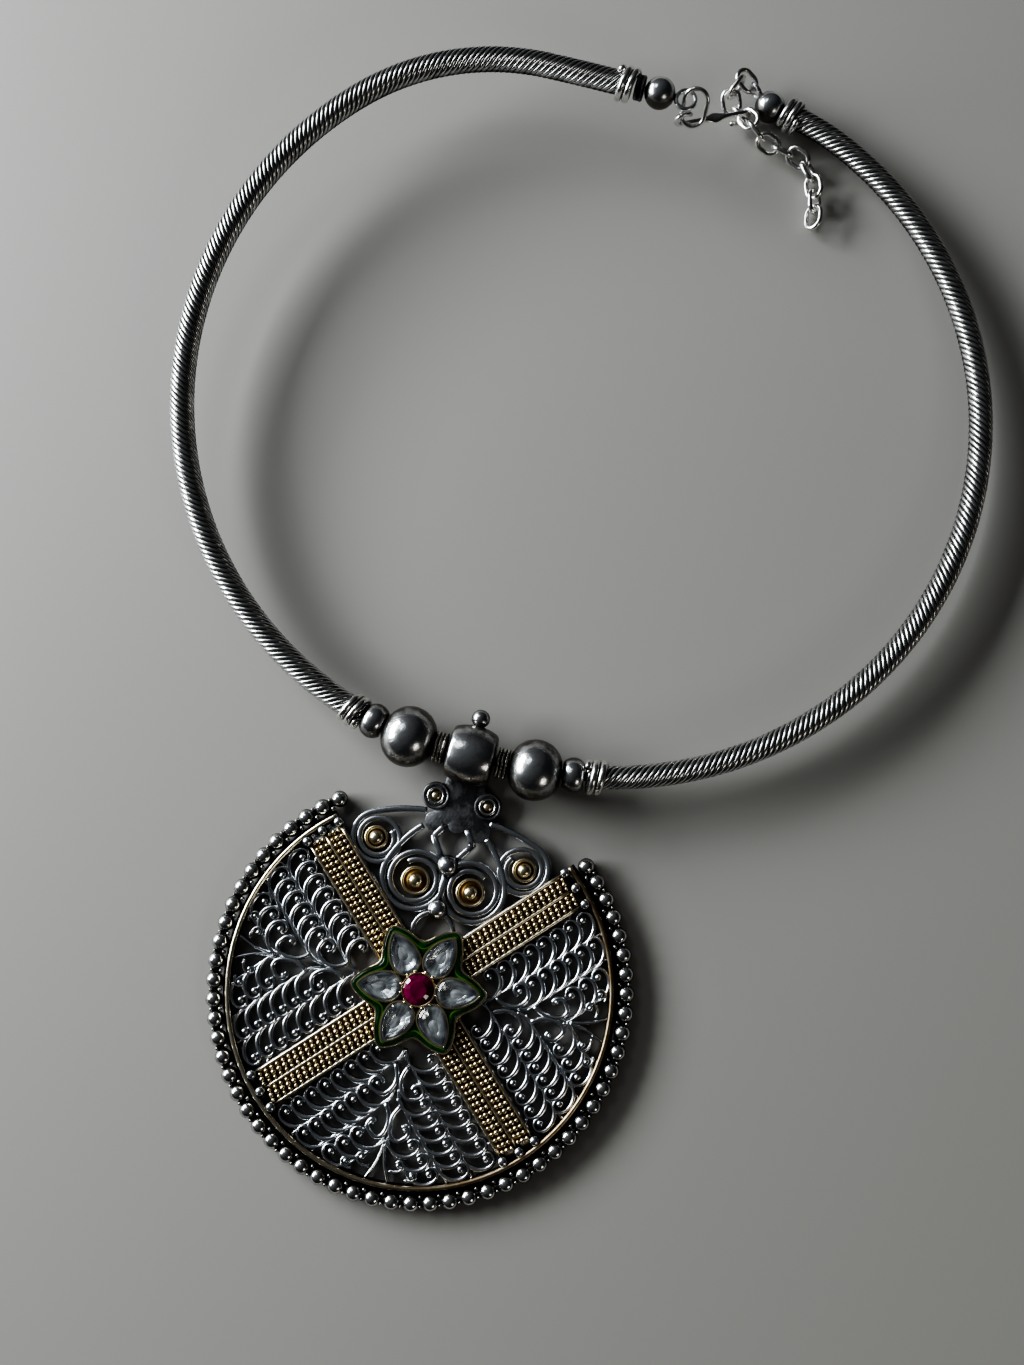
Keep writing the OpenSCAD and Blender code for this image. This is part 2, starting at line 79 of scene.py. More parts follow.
# Across a strand: groove depth, share of a half circle, stations of its points
GROOVE_DEPTH = 0.3
STRAND_ROUND = 0.96
STRAND_STATIONS = (0, 0.07, 0.18, 0.34, 0.5, 0.66, 0.82, 0.93)

# Beads on the front wire: station from the bail's middle, length, diameter, radius of the side's arc,
# points along the side, points round it
BEADS = {"big": (10.6, 8.4, 10.0, 4.4, 30, 96), "small": (16.8, 3.4, 5.8, 2.2, 18, 72)}
# Rims of the bores, and how far they lean in against their width
BEAD_RIM, BARREL_RIM, RIM_LEAN = 0.3, 0.2, 0.3
SPACER_AT, SPACER_L, SPACER_D = 5.2, 1.9, 5.3
# Its ribs, and their notches: depth as a share of the radius, how far in from the outside
RIBS, RIB_STEPS, RIB_H = 3, 8, 0.42
NOTCHES, NOTCH_DEPTH, NOTCH_REACH = 16, 0.045, 0.45
COIL_AT, COIL_D, COIL_WIRE, COIL_PITCH = 20.3, 6.0, 1.2, 1.26
COIL_TURNS, COIL_LEAN, COIL_STEPS = 2.15, 0.1, 36
# How far a coil's ends are tucked in, and over how many radians
COIL_TUCK, COIL_TUCK_OVER = 0.35, 0.25
BACK_COIL_AT = {-1: -1.1, 1: -0.8}
COLLAR_AT, COLLAR_L, COLLAR_D, COLLAR_SOFT, COLLAR_GROOVE = 1.35, 1.5, 4.2, 0.2, 0.08
BACK_BEAD_AT = {-1: 4.8, 1: 3.4}
BACK_BEAD_D = 5.2
# Eyes of the back beads: wire, radius, gap to the bead, and turns about Z and X
EYE_WIRE = 0.8
EYE_R = {-1: 1.6, 1: 1.25}
EYE_GAP = {-1: 0.3, 1: 0.05}
EYE_TURN = {-1: (0, 0), 1: (-27, 90)}

# Clasp
RING_WIRE, RING_R, RING_SIDE = 0.75, 1.95, 2.3
RING_AT, RING_TILT = (8.6, 114.2, 10.4), 50
HOOK_WIRE, HOOK_AT, HOOK_TURN, HOOK_DIP = 0.85, (7.3, 112.8, 8.8), 33, 14
HOOK_L, HOOK_R, HOOK_CURL = 12, (1.4, 1.6), 215
# Its flat: place and spread as shares of the length, how much thinner and wider
HOOK_FLAT = (0.54, 0.11, 0.35, 1.3)
LINK_WIRE, LINK_L, LINK_W = 0.86, 4.8, 3.7
CHAIN_FROM = (17.96, 124.29, 3.07)
# Each link of the chain: x, y, z, roll
LINKS = [
    (16.1, 125.3, 3.8, 5), (14.6, 123.5, 4.1, -85), (14.4, 121.5, 2.7, 15), (16.5, 119.7, 1.9, -75),
    (18.0, 118.8, 3.3, 25), (19.8, 116.7, 3.7, -65), (22.4, 115.6, 2.6, 35), (25.2, 115.5, 1.8, -55),
    (28.0, 114.6, 2.1, 45), (30.4, 112.9, 1.8, -45), (31.8, 110.3, 1.9, 45), (32.6, 107.6, 1.9, -45),
    (33.0, 104.9, 1.9, 45),
]
EYE_STEP, LINK_STEP, HOOK_STEPS = 0.25, 0.28, (0.2, 0.22)

# Pendant
DROP = 38.25
PENDANT_TURN = 2.1
BARREL_D, BARREL_L, BARREL_SIDE_R, BARREL_SOFT = 9.8, 7.5, 7.9, 0.5
BAIL_BALL_D, BAIL_BALL_Y, LARGE_SHOT_DARK = 3.0, 6.1, 0.25
FRAME_R, FRAME_Z, FRAME_T = 31.8, 0.6, 1.25
FRAME_TOP = FRAME_Z + FRAME_T
FRAME_MID_Z = FRAME_Z + FRAME_T / 2
RIM_INNER, RIM_SIDE_WEAR = 30.5, 0.08
ARM_W, ARM_FROM, ARM_TO = 6.6, 0.5, 30.2
ARM_ANGLES = (45, 135, 225, 315)
SECTORS = {180: "left", 270: "lower", 0: "right"}
RIM_R, RIM_WIRE, RIM_UP = 30.9, 0.8, 0.1
# Where the rim's gold has painted light, towards the key lamp, in degrees, then its painted shade: the
# share beside that, the change, the least
RIM_LIT_TOWARD, RIM_SHADE_FADE = 165, (0.68, 0.5, 0.42)
END_BALL_D, END_BALL_R, END_BALL_STEP, END_BALL_UP = 1.7, 29.85, 5.7, 0.5
# Steps along the rim band, its wire and the border's string
RIM_STEP, RIM_WIRE_STEP, STRING_STEP = 0.9, 0.7, 0.8

# Border beads on their string, swollen so that they touch, with two grains in each gap
BORDER_R, BORDER_D, BORDER_COUNT, BORDER_FROM, BORDER_STEP = 33.25, 2.6, 54, 126.4, 5.32
BORDER_SWELL, BORDER_DARK, STRING_W, STRING_H = 0.06, 0.12, 1.5, 1.3
# Each grain: distance from the row, diameter
BORDER_GRAINS, BORDER_GRAIN_UP, BORDER_GRAIN_WEAR = ((-1.05, 0.72), (0.45, 0.6)), 0.75, 0.6

# Gold bands and their grains, of which the middle row is larger
BAND_FROM, BAND_TO = 5.6, 28.9
BAND_Z, BAND_T = FRAME_TOP + 0.05, 0.35
BAND_PITCH, BAND_WIRE, BAND_WEAR = 2.9, 0.58, 0.05
BAND_WIRE_Z = BAND_Z + BAND_T / 2 + 0.1
GRAIN_D, GRAIN_STEP, GRAIN_ROW = 0.81, 1.065, 0.79
GRAIN_SWELL, GRAIN_SINK, GRAIN_DARK = 0.045, 0.3, 0.15
# Where the first row starts, and how much later each next one does
GRAIN_LEAD = (0.15, 0.12)

# Filigree wire and its curls in a sector, whose middle line is the first axis
WIRE_W, WIRE_H = 0.76, 1.2
CURL = [
    (0.1, -4.2), (1.2, -3.2), (1.85, -2.0), (2.0, -0.8), (1.55, 0.4), (0.7, 1.15), (-0.2, 1.25),
    (-0.85, 0.7), (-0.85, -0.15), (-0.3, -0.6),
]
CURL_BALL = 0.58
# Rows of curls: place of the first ball (outward, sideways), step outward, step sideways, count
CURL_ROWS = [
    (10.4, 4.2, 1.8, 1.68, 8),
    (17.2, 4.6, 1.64, 1.57, 6),
    (23.7, 4.15, 1.75, 1.85, 3),
]
SMALL_CURLS = [(27.0, 2.9, 0.62), (28.1, 5.3, 0.5), (20.0, 16.6, 0.4)]
# The two large curls beside the middle line, and their balls
LARGE_CURLS = [
    ([(12.1, 1.05), (14, 0.4), (15.7, 0.65), (16.9, 1.7), (17.0, 2.8), (16.3, 4.1), (15.4, 4.2),
      (14.7, 3.6), (14.85, 2.65), (15.5, 2.4)], (15.6, 3.05), 0.42),
    ([(18.3, 1.2), (20, 0.35), (21.9, 0.25), (23.2, 0.75), (23.6, 1.85), (22.6, 3.15), (21.7, 3.2),
      (21.1, 2.7), (21.4, 2.2)], (21.6, 2.65), 0.36),
]
STEMS = [
    [(9.6, 0.1), (11.2, 0.75), (13.2, 2.5), (24.9, 13.4), (26.4, 14.4)],
    [(15.9, 0.3), (17.3, 0.7), (19, 2.2), (26.9, 9.9), (28.4, 11.0)],
    [(23.3, 0.3), (24.2, 0.6), (25.8, 1.9), (27.9, 4.4), (29.6, 6.4)],
    [(24.4, 0.1), (26, 0.35), (27.6, 0.75), (30.2, 1.9)],
]
# Widths of stems and curls against the wire's, and how much lower the stems lie
STEM_WIDTH, SMALL_WIDTH, LARGE_WIDTH, STEM_LOWER = 0.75, 0.8, 1.1, 0.2
# How much larger a sector is than the places above
SECTOR_GROW = 1.018
# A curl's start is thinner by the taper, over so many spans, and its back swells from thin
CURL_TAPER, CURL_LEAD, CURL_THIN, CURL_SWELL = 0.4, 2.5, 0.7, 0.5
# Where along a curl its back swells most, and how far that spreads
BACK_AT, BACK_SPREAD = 0.36, 0.26

# Scrollwork between the arms, under the bail
SCROLL_W, SCROLL_H, SCROLL_Z, SCROLL_STEP, SCROLL_END = 1.08, 1.05, FRAME_Z + 0.1, 0.35, 0.85
# The small and the large spiral: start, heading, arcs as radius and turn
SPIRALS = [
    ((5.3, 28.1), -3.7, [(-24.6, 20.7), (-4.1, 180), (-3.55, 180), (-3.0, 180), (-2.55, 110)]),
    ((5.3, 25.6), -42.8, [(-17.3, 27.2), (-5.15, 180), (-4.5, 180), (-3.85, 180), (-3.2, 150)]),
]
STRUT = [(1.8, 26.4), (3.3, 24.1), (1.1, 21)]
ARCH_R, ARCH_Y, ARCH_LEG, ARCH_WIDTH = 3.3, 6.8, 2.2, 0.8
POST, POST_WIDTH = [(0, 13), (0, 16.5), (0, 20)], 1.1
# The two large shot: x, y, diameter
LARGE_SHOT, LARGE_SHOT_UP = ((0, 20.1, 3.4), (0, 12.9, 3.2)), 1.3
# Gold domes in the eyes of the scrolls: x, y, diameter of the cup
DOMES = {"small": (12.4, 22.0, 4.0), "large": (4.6, 16.6, 4.8)}
DOME_SHOT_D, DOME_SHOT_UP = 2.4, 0.8

# Bail plate: the circles (x, y, radius) and boxes (low x, low y, high x, high y) that it blends
PLATE_H = 1.0
PLATE_CIRCLES = [
    (-4.35, 30.75, 2.2), (4.35, 30.75, 2.2), (-3.55, 26.7, 1.75), (3.75, 26.5, 1.9), (0, 26.9, 1.5),
]
PLATE_BOXES = [(-3.7, 27.2, 3.7, 33.0), (-3.3, 32.0, 3.3, 35.2)]
PLATE_MIDDLE = (0, 28.6)
PLATE_SOFT = 0.12
PLATE_POINTS = 240
# Its section: share of the outline, inset, height, wear
PLATE_ROWS = [
    (1.0, 0.0, 0.12, 0.1), (1.0, 0.0, PLATE_H - 0.15, 0.3), (1.0, 0.05, PLATE_H - 0.04, 0.95),
    (1.0, 0.16, PLATE_H, 0.75), (0.5, 0.0, PLATE_H, 0.6),
]
EYELET = (4.35, 30.75)
# The two wires of an eyelet: radius, width, height, lift, kind of wear, which material
EYELET_WIRES = [(2.0, 0.6, 0.6, 0, "plate wire", 0), (1.25, 0.62, 0.7, 0.1, "eyelet wire", 1)]
STUD_R, STUD_UP, STUD_SQUASH = 0.78, 0.1, 0.6

# Flower
FLOWER_TURN, FLOWER_POINTS = 6.65, 360
PETAL_R, PETAL_L, PETAL_W, PETALS = 5.1, 4.6, 4.4, 6
PEAR_MID = (PETAL_L - PETAL_W / 2) / 2
NOTCH_SOFT = 0.9
SETTING_Z = BAND_WIRE_Z + BAND_WIRE / 2 + 0.05
SETTING_FLOOR = SETTING_Z + 0.6
LIP_TOP = SETTING_FLOOR + 0.4
BEZEL_TOP = SETTING_FLOOR + 0.65
BEZEL_FOOT = SETTING_FLOOR - 0.05
SETTING_POST_R, SETTING_POST_WEAR = 3.0, 0.1
# Edge of the setting: distance from the petals' outline, height, wear
SETTING_EDGE = [
    (1.2, SETTING_Z, 0), (1.25, SETTING_Z + 0.1, 0.2), (1.25, LIP_TOP - 0.05, 0.5),
    (1.2, LIP_TOP + 0.02, 1), (1.02, LIP_TOP + 0.02, 1), (0.98, LIP_TOP - 0.1, 0.4),
    (0.98, SETTING_FLOOR, 0.1),
]
# Collet of a pear stone: distance from its outline, inset, height, wear
COLLET = [
    (0.42, 0, BEZEL_FOOT, 0.2), (0.34, 0, BEZEL_TOP - 0.12, 0.6), (0.34, 0.06, BEZEL_TOP, 1),
    (0.1, 0, BEZEL_TOP + 0.02, 1), (0.0, 0, BEZEL_TOP - 0.1, 0.5), (0.0, 0, BEZEL_FOOT, 0.2),
]
RUBY_D = 4.9
# Collet of the ruby: distance from the stone, height, wear
RUBY_COLLET = [
    (0.4, BEZEL_FOOT, 0.2), (0.32, BEZEL_TOP, 0.7), (0.24, BEZEL_TOP + 0.1, 1), (0.08, BEZEL_TOP + 0.1, 1),
    (-0.02, BEZEL_TOP, 0.5), (-0.02, BEZEL_FOOT, 0.2),
]
# Grains beside the ruby: distance from the middle, radius, turn from each petal's middle
PRONG_AT, PRONG_R, PRONG_TURN = PETAL_R - 2.15, 0.26, 13
# Enamel: distance from the petals' outline, height, share of the painted glint
ENAMEL_TOP, ENAMEL_FOOT = SETTING_FLOOR + 0.38, SETTING_FLOOR + 0.02
ENAMEL = [
    (0.985, ENAMEL_TOP - 0.22, 0.75), (0.9, ENAMEL_TOP, 0.3), (0.8, ENAMEL_TOP + 0.07, 0),
    (0.68, ENAMEL_TOP + 0.08, 0), (0.55, ENAMEL_TOP + 0.05, 0.15), (0.42, ENAMEL_TOP - 0.03, 0.6),
]
ENAMEL_INNER, ENAMEL_INNER_R = 0.3, 6.2
# Cuts of the stones: share of the girdle, height, wear
PEAR_CUT = [(1, 0.05, 0), (1, 0.5, 0), (0.84, 0.86, 0.35), (0.6, 1.12, 0.7), (0.34, 1.28, 0.95)]
RUBY_CUT = [(1, 0.05, 1), (1, 0.72, 1), (0.8, 1.1, 1), (0.55, 1.42, 1)]
STONE_ROOM = 0.02

# Steps out from a middle, in which an outline is looked for
REACH_STEPS = np.arange(0, 12, 0.01)

# Points round a ball and its rings, by what it is
DETAIL = {
    "shot": (28, 18), "border bead": (24, 15), "end ball": (20, 12), "stud": (16, 10), "grain": (12, 9),
    "wire end": (12, 8), "small grain": (10, 7),
}

# Wear and painted shade by height, 0 for tarnish and painted shade and 1 for bright: at height 0, what
# height 1 adds, the least
WORN_AND_SHADED = {
    "strand": (-0.15, 1.35, 0), "rope": (0.65, 1.5, 0.1), "shaded_underside": (-0.36, 1.6, 0.2),
    "coil": (0.6, 0.9, 0), "rib": (0.05, 0.75, 0), "barrel end": (1.4, -1.2, 0.1),
    "filigree": (0.62, 0.95, 0.05), "arm": (0.3, 0.6, 0), "scroll": (0.5, 0.9, 0.05),
    "plate wire": (0.36, 0.8, 0), "eyelet wire": (0.45, 1.0, 0), "rim": (0.9, 0.7, 0),
    "band": (0.5, 0.8, 0), "dome": (0.25, 1.5, 0), "ball": (-0.1, 1.5, 0),
}

# Metals: worn colour, the colour of tarnish and of painted shade, roughness of the two, how much the
# patches cover, grain, height of the dents in metres, and where in their noise the patches begin and end,
# if not as usual
METALS = {
    "rope_silver": ((0.70, 0.70, 0.69), (0.028, 0.026, 0.024), (0.2, 0.42), 0.3, 2200, 8e-6),
    "polished_silver": ((0.84, 0.85, 0.86), (0.11, 0.1, 0.09), (0.2, 0.36), 0.45, 1300, 4e-5, (0.38, 0.7)),
    "dark_silver": ((0.42, 0.41, 0.40), (0.03, 0.03, 0.031), (0.25, 0.5), 0.4, 2500, 2e-5),
    "spacer_silver": ((0.72, 0.69, 0.64), (0.07, 0.058, 0.048), (0.12, 0.35), 0.3, 2500, 2e-5),
    "plate_silver": ((0.62, 0.63, 0.66), (0.09, 0.09, 0.094), (0.3, 0.5), 0.7, 3000, 6e-5, (0.3, 0.75)),
    "wire_silver": ((0.84, 0.83, 0.81), (0.08, 0.077, 0.073), (0.22, 0.4), 0.2, 2500, 2e-5),
    "frame_silver": ((0.84, 0.87, 0.91), (0.018, 0.018, 0.019), (0.22, 0.38), 0.22, 2500, 5e-6),
    "bead_silver": ((0.84, 0.84, 0.83), (0.07, 0.065, 0.06), (0.18, 0.4), 0.25, 2500, 5e-6),
    "gold": ((1.0, 0.88, 0.60), (0.20, 0.115, 0.035), (0.25, 0.42), 0.12, 3500, 3e-6),
    "pale_gold": ((1.0, 0.92, 0.71), (0.24, 0.155, 0.07), (0.24, 0.4), 0.15, 3500, 2e-6),
}
# The noise of the tarnish in patches: scale, detail, roughness
PATCH_NOISE = (420, 4, 0.6)
# How much the grain shades a metal, and from which shade to which it turns bright and smooth
GRAIN_SHADE, BRIGHT_SHADE, SMOOTH_SHADE = 0.06, (0.2, 0.85), (0.1, 0.9)
# From how far down a back faces it is worn, and how bright, against 1 for the crests
BACK_FACING, BACK_WEAR = (-0.8, -0.98), 0.6
# Enamel: its dark and green tones, and the pale lime of the painted glint at its edges
ENAMEL_DARK, ENAMEL_GREEN, ENAMEL_GLINT = (0.0006, 0.012, 0.004), (0.003, 0.06, 0.013), (0.22, 0.50, 0.03)
STONE_DARK, STONE_BRIGHT, STONE_METALLIC = (0.13, 0.165, 0.215), (0.92, 0.98, 1.0), 0.85
# Foil behind a clear stone: wrinkles per millimetre, their share of the depth, the depth in metres
FOIL_SCALE, FOIL_WRINKLE, FOIL_DEPTH = (0.3, 0.44, 0.8), 0.24, 0.0018
RUBY_DARK, RUBY_BRIGHT, RUBY_IOR = (0.08, 0.0004, 0.02), (0.27, 0.002, 0.07), 1.77

# Stage: the floor's half size in metres, colour and roughness
FLOOR_HALF, FLOOR_COLOUR, FLOOR_ROUGH = 3.0, (0.40, 0.39, 0.365, 1), 0.55
# Lamps: direction, distance and size in metres, watts, colour
LAMPS = {
    "key": ((-0.90, 0.12, 0.345), 0.64, (0.58, 0.20), 8.0, (0.93, 0.97, 1.0)),
    "upper": ((-0.62, 0.42, 0.80), 0.75, (0.26, 0.18), 0.3, (0.93, 0.97, 1.0)),
    "low_right": ((0.75, -0.6, 0.55), 0.8, (0.2, 0.16), 0.4, (1.0, 0.93, 0.84)),
}
# The room's light: the way it comes from, (from and to which share of that, least, most), colour
ROOM_TOWARD, ROOM_LEVELS, ROOM_COLOUR = (-0.74, 0.30, 0.60), (0.1, 1.0, 0.016, 0.10), (0.92, 0.96, 1.0, 1)
# The camera of the photograph: place in millimetres, turn in degrees, focal length in pixels; and what
# it needs in Blender: sensor height, nearest and furthest distance seen in metres
CAMERA_AT = (9.80, -38.71, 215.29)
CAMERA_TURN = (7.078, 0.774, 14.687)
FOCAL_PX, IMAGE_H = 1300, 1365
SENSOR_H, CLIP_FROM, CLIP_TO = 24, 0.01, 20


# Places

def shift(x=0.0, y=0.0, z=0.0):
    """A move along the three axes, as a 4 by 4 matrix."""
    m = np.eye(4)
    m[:3, 3] = (x, y, z)
    return m


def turn(axis, angle):
    """A turn in degrees about X, Y or Z."""
    c, s = cos(radians(angle)), sin(radians(angle))
    a, b = {"X": (1, 2), "Y": (2, 0), "Z": (0, 1)}[axis]
    m = np.eye(4)
    m[a, a], m[a, b], m[b, a], m[b, b] = c, -s, s, c
    return m


def moved(points, place):
    """Points of a frame, in the frame that it is placed in."""
    return points @ place[:3, :3].T + place[:3, 3]


def past(radius, amount):
    """Along a bend to the left (to the right if the radius is negative), or straight on if it is 0."""
    if radius == 0:
        return shift(amount)
    return shift(0, radius) @ turn("Z", amount if radius > 0 else -amount) @ shift(0, -radius)


def arc_turn(radius, length):
    return degrees(length / abs(radius))


def walk(start, segments, step):
    """Frames along a path of [radius, turn] or [0, length] segments, X along it."""
    frames = [start]
    for radius, amount in segments:
        length = amount if radius == 0 else radians(amount) * abs(radius)
        count = max(2, ceil(length / step))
        last = frames[-1]
        frames += [last @ past(radius, amount * k / count) for k in range(1, count + 1)]
    return frames


def polar(r, angle, z=0):
    """A point at a distance from the middle, in a direction in degrees."""
    return (r * cos(radians(angle)), r * sin(radians(angle)), z)


def places(frames):
    return np.array([f[:3, 3] for f in frames])


UNMOVED = shift()
PLACED = shift(-MIDDLE[0], -MIDDLE[1])
HUNG = PLACED @ turn("Z", PENDANT_TURN) @ shift(0, -DROP)
FLOWER = HUNG @ turn("Z", FLOWER_TURN)


def petal_place(k):
    """Frame at the middle of a petal, X outwards."""
    return turn("Z", k * 360 / PETALS) @ shift(PETAL_R + PEAR_MID)


def on_front(side, station):
    """Frame at a station of the front wire, X pointing outwards along it."""
    m = PLACED @ shift(0, 0, AXIS_Z) @ turn("Z", 180 if side < 0 else 0)
    if station <= STRAIGHT_HALF:
        return m @ shift(station)
    return m @ shift(STRAIGHT_HALF) @ past(BEND[side], arc_turn(BEND[side], station - STRAIGHT_HALF))


def tube_plane(side):
    """Frame where a tube starts, in the tube's tilted plane."""
    radius = abs(BEND[side])
    turned = arc_turn(radius, TUBE_FROM - STRAIGHT_HALF)
    x = side * (STRAIGHT_HALF + radius * sin(radians(turned)))
    y = radius * (1 - cos(radians(turned)))
    heading = turned if side > 0 else 180 - turned
    return PLACED @ shift(x, y, AXIS_Z) @ turn("X", TILT[side]) @ turn("Z", heading)


def on_back(side, station):
    """Frame beyond the back end of a tube."""
    return walk(tube_plane(side), ARCS[side] + [(0, station)], WHOLE)[-1]


# Lines and profiles

def ahead(points, ups=(0.0, 0.0, 1.0)):
    """Frames at the points of a line, X along it and Z near the given up direction."""
    p = np.asarray(points, float)
    along = np.roll(p, -1, 0) - np.roll(p, 1, 0)
    along[0], along[-1] = p[1] - p[0], p[-1] - p[-2]
    along /= np.linalg.norm(along, axis=1)[:, None]
    left = np.cross(np.broadcast_to(ups, p.shape), along)
    left /= np.linalg.norm(left, axis=1)[:, None]
    frames = np.tile(np.eye(4), (len(p), 1, 1))
    frames[:, :3, 0], frames[:, :3, 1] = along, left
    frames[:, :3, 2], frames[:, :3, 3] = np.cross(along, left), p
    return list(frames)


def lengths(points):
    """How far along a line each of its points is."""
    return np.concatenate([[0], np.cumsum(np.linalg.norm(np.diff(points, axis=0), axis=1))])


def spline(points, per_span):
    """A smooth line through points of any dimension."""
    p = np.asarray(points, float)
    p = np.vstack([2 * p[0] - p[1], p, 2 * p[-1] - p[-2]])
    out = []
    for a, b, c, d in zip(p, p[1:], p[2:], p[3:]):
        for k in range(per_span):
            t = k / per_span
            out.append(0.5 * (2 * b + (c - a) * t + (2 * a - 5 * b + 4 * c - d) * t * t
                              + (3 * b - a - 3 * c + d) * t ** 3))
    out.append(p[-2])
    return np.array(out)


def in_plan(path, z):
    return np.column_stack([path, np.full(len(path), float(z))])


def round_angles(count):
    return np.arange(count) * 2 * pi / count


def oval(width, height, count=12, power=1.0):
    """A closed profile round the path: a circle, an ellipse, or with a power below 1 a squarer form."""
    a = (np.arange(count) + 0.5) * 2 * pi / count
    y, z = np.cos(a), np.sin(a)
    return np.stack([np.sign(y) * np.abs(y) ** power * width / 2,
                     np.sign(z) * np.abs(z) ** power * height / 2], 1)


def lathe_arc(half, radius, side_r, count):
    """Half of a bead's outside: an arc of side_r whose crown is at radius, from -half to half."""
    x = np.linspace(-half, half, count)
    return np.stack([x, radius - side_r + np.sqrt(np.maximum(side_r ** 2 - x * x, 0))], 1)


def half_circle(r, count):
    """The outside of a round bead, from end to end."""
    a = np.linspace(0, pi, count)
    return np.stack([-r * np.cos(a), r * np.sin(a)], 1)


def worn_and_shaded(kind, height):
    """Wear and painted shade of one kind at the given heights."""
    base, gain, least = WORN_AND_SHADED[kind]
    return np.clip(base + gain * height, least, 1)


def wire(kind, width, height, count=12, power=1.0):
    """The profile of a wire, and its wear with painted shade on its lower sides."""
    profile = oval(width, height, count, power)
    return profile, worn_and_shaded(kind, profile[:, 1] / height)


# Meshes

def link_object(name, data):
    thing = bpy.data.objects.new(name, data)
    bpy.context.scene.collection.objects.link(thing)
    return thing


class Shape:
    """Points in millimetres and faces, with how bright each point is by wear and by painted light and
    shade, and each face's material.
    """

    def __init__(self):
        self.points, self.wear, self.faces, self.paint, self.count = [], [], [], [], 0

    def add(self, points, faces, wear=1.0, paint=0):
        points = np.asarray(points, float)
        self.points.append(points)
        self.wear.append(np.broadcast_to(np.asarray(wear, float), len(points)))
        self.faces += [[i + self.count for i in face] for face in faces]
        self.paint += [paint] * len(faces)
        self.count += len(points)

    def shade_below(self, middle, r):
        """Darkens the lower sides of what was added last with painted shade, from its height against its
        radius.
        """
        height = (self.points[-1][:, 2] - middle) / r
        self.wear[-1] = np.minimum(self.wear[-1], worn_and_shaded("shaded_underside", height))

    def finish(self, name, body, node, *paints, crease=None, within=UNMOVED):
        """The finished piece, which rides on its body and stands for a node."""
        points = np.vstack(self.points)
        mesh = bpy.data.meshes.new(name)
        mesh.from_pydata((moved(points, within) * MM).tolist(), [], self.faces)
        mesh.polygons.foreach_set("material_index", self.paint)
        # Stored per point: real wear, plus painted shade on lower sides and painted light on tops
        wear = mesh.attributes.new("wear", "FLOAT", "POINT")
        wear.data.foreach_set("value", np.concatenate(self.wear).astype(np.float32))
        local = mesh.attributes.new("local", "FLOAT_VECTOR", "POINT")
        local.data.foreach_set("vector", points.astype(np.float32).ravel())
        bm = bmesh.new()
        bm.from_mesh(mesh)
        bmesh.ops.remove_doubles(bm, verts=bm.verts, dist=MERGE * MM)
        bm.to_mesh(mesh)
        bm.free()
        mesh.shade_smooth()
        if crease:
            mesh.set_sharp_from_angle(angle=radians(crease))
        for paint in paints:
            mesh.materials.append(PAINTS[paint])
        piece = link_object(name, mesh)
        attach(piece, body)
        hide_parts(node)


def grid(rows, columns, ring=False):
    """Quads between rows of points that close round; ring also joins the last row to the first."""
    r, c = np.meshgrid(np.arange(rows - (not ring)), np.arange(columns), indexing="ij")
    r2, c2 = (r + 1) % rows, (c + 1) % columns
    quads = np.stack([r * columns + c, r * columns + c2, r2 * columns + c2, r2 * columns + c], -1)
    return quads.reshape(-1, 4).tolist()


def flat_ended(rows, columns):
    """The faces of an open tube and of its two flat ends."""
    last = (rows - 1) * columns
    return grid(rows, columns) + [list(range(columns))[::-1], list(range(last, last + columns))]


def sweep(shape, frames, profile, wear=1.0, closed=False, scale=None, paint=0):
    """A profile carried along frames, with flat ends unless it closes on itself."""
    n = len(profile)
    if scale is None:
        scale = np.ones((len(frames), 2))
    rows = [moved(np.column_stack([np.zeros(n), profile * s]), f) for f, s in zip(frames, scale)]
    faces = grid(len(rows), n, ring=True) if closed else flat_ended(len(rows), n)
    shape.add(np.vstack(rows), faces, np.tile(np.broadcast_to(wear, n), len(rows)), paint)


def revolve(shape, place, profile, segments, wear=1.0, closed=False):
    """Turns (along, radius) points about the frame's X axis."""
    x, r = np.asarray(profile, float).T[:, :, None]
    a = round_angles(segments)
    rows = np.stack([np.broadcast_to(x, (len(x), segments)), r * np.cos(a), r * np.sin(a)], -1)
    wear = np.repeat(np.broadcast_to(wear, len(x)), segments)
    shape.add(moved(rows.reshape(-1, 3), place), grid(len(x), segments, ring=closed), wear)


def bored(shape, place, outside, bore_d, rim, wear, segments):
    """A bead: its outside profile closed through a bore with rounded rims."""
    r = bore_d / 2
    first, last = outside[0][0], outside[-1][0]
    inside = [(last, r + rim), (last - rim * RIM_LEAN, r), (first + rim * RIM_LEAN, r)]
    profile = np.vstack([[(first, r + rim)], outside, inside])
    revolve(shape, place, profile, segments, np.concatenate([[0.1], wear, [0.1, 0, 0]]), closed=True)


@lru_cache
def ball_form(around, rings):
    """Points and faces of a ball of radius 1, its poles up and down."""
    form = Shape()
    revolve(form, turn("Y", -90), half_circle(1, rings), around)
    return form.points[0], form.faces


def ball(shape, centre, r, detail, dark=0.0, squash=1.0):
    """A round grain, bead or shot. Its lower half is darkened with painted shade."""
    points, faces = ball_form(*DETAIL[detail])
    wear = np.maximum(worn_and_shaded("ball", points[:, 2]), dark)
    shape.add(np.asarray(centre) + points * (r, r, r * squash), faces, wear)


def wire_ring(shape, place, radius, profile, wear=1.0, paint=0):
    """A closed ring of wire round the frame's Z axis."""
    path = walk(place @ shift(0, -radius), [(radius, 360)], EYE_STEP)[:-1]
    sweep(shape, path, profile, wear, closed=True, paint=paint)


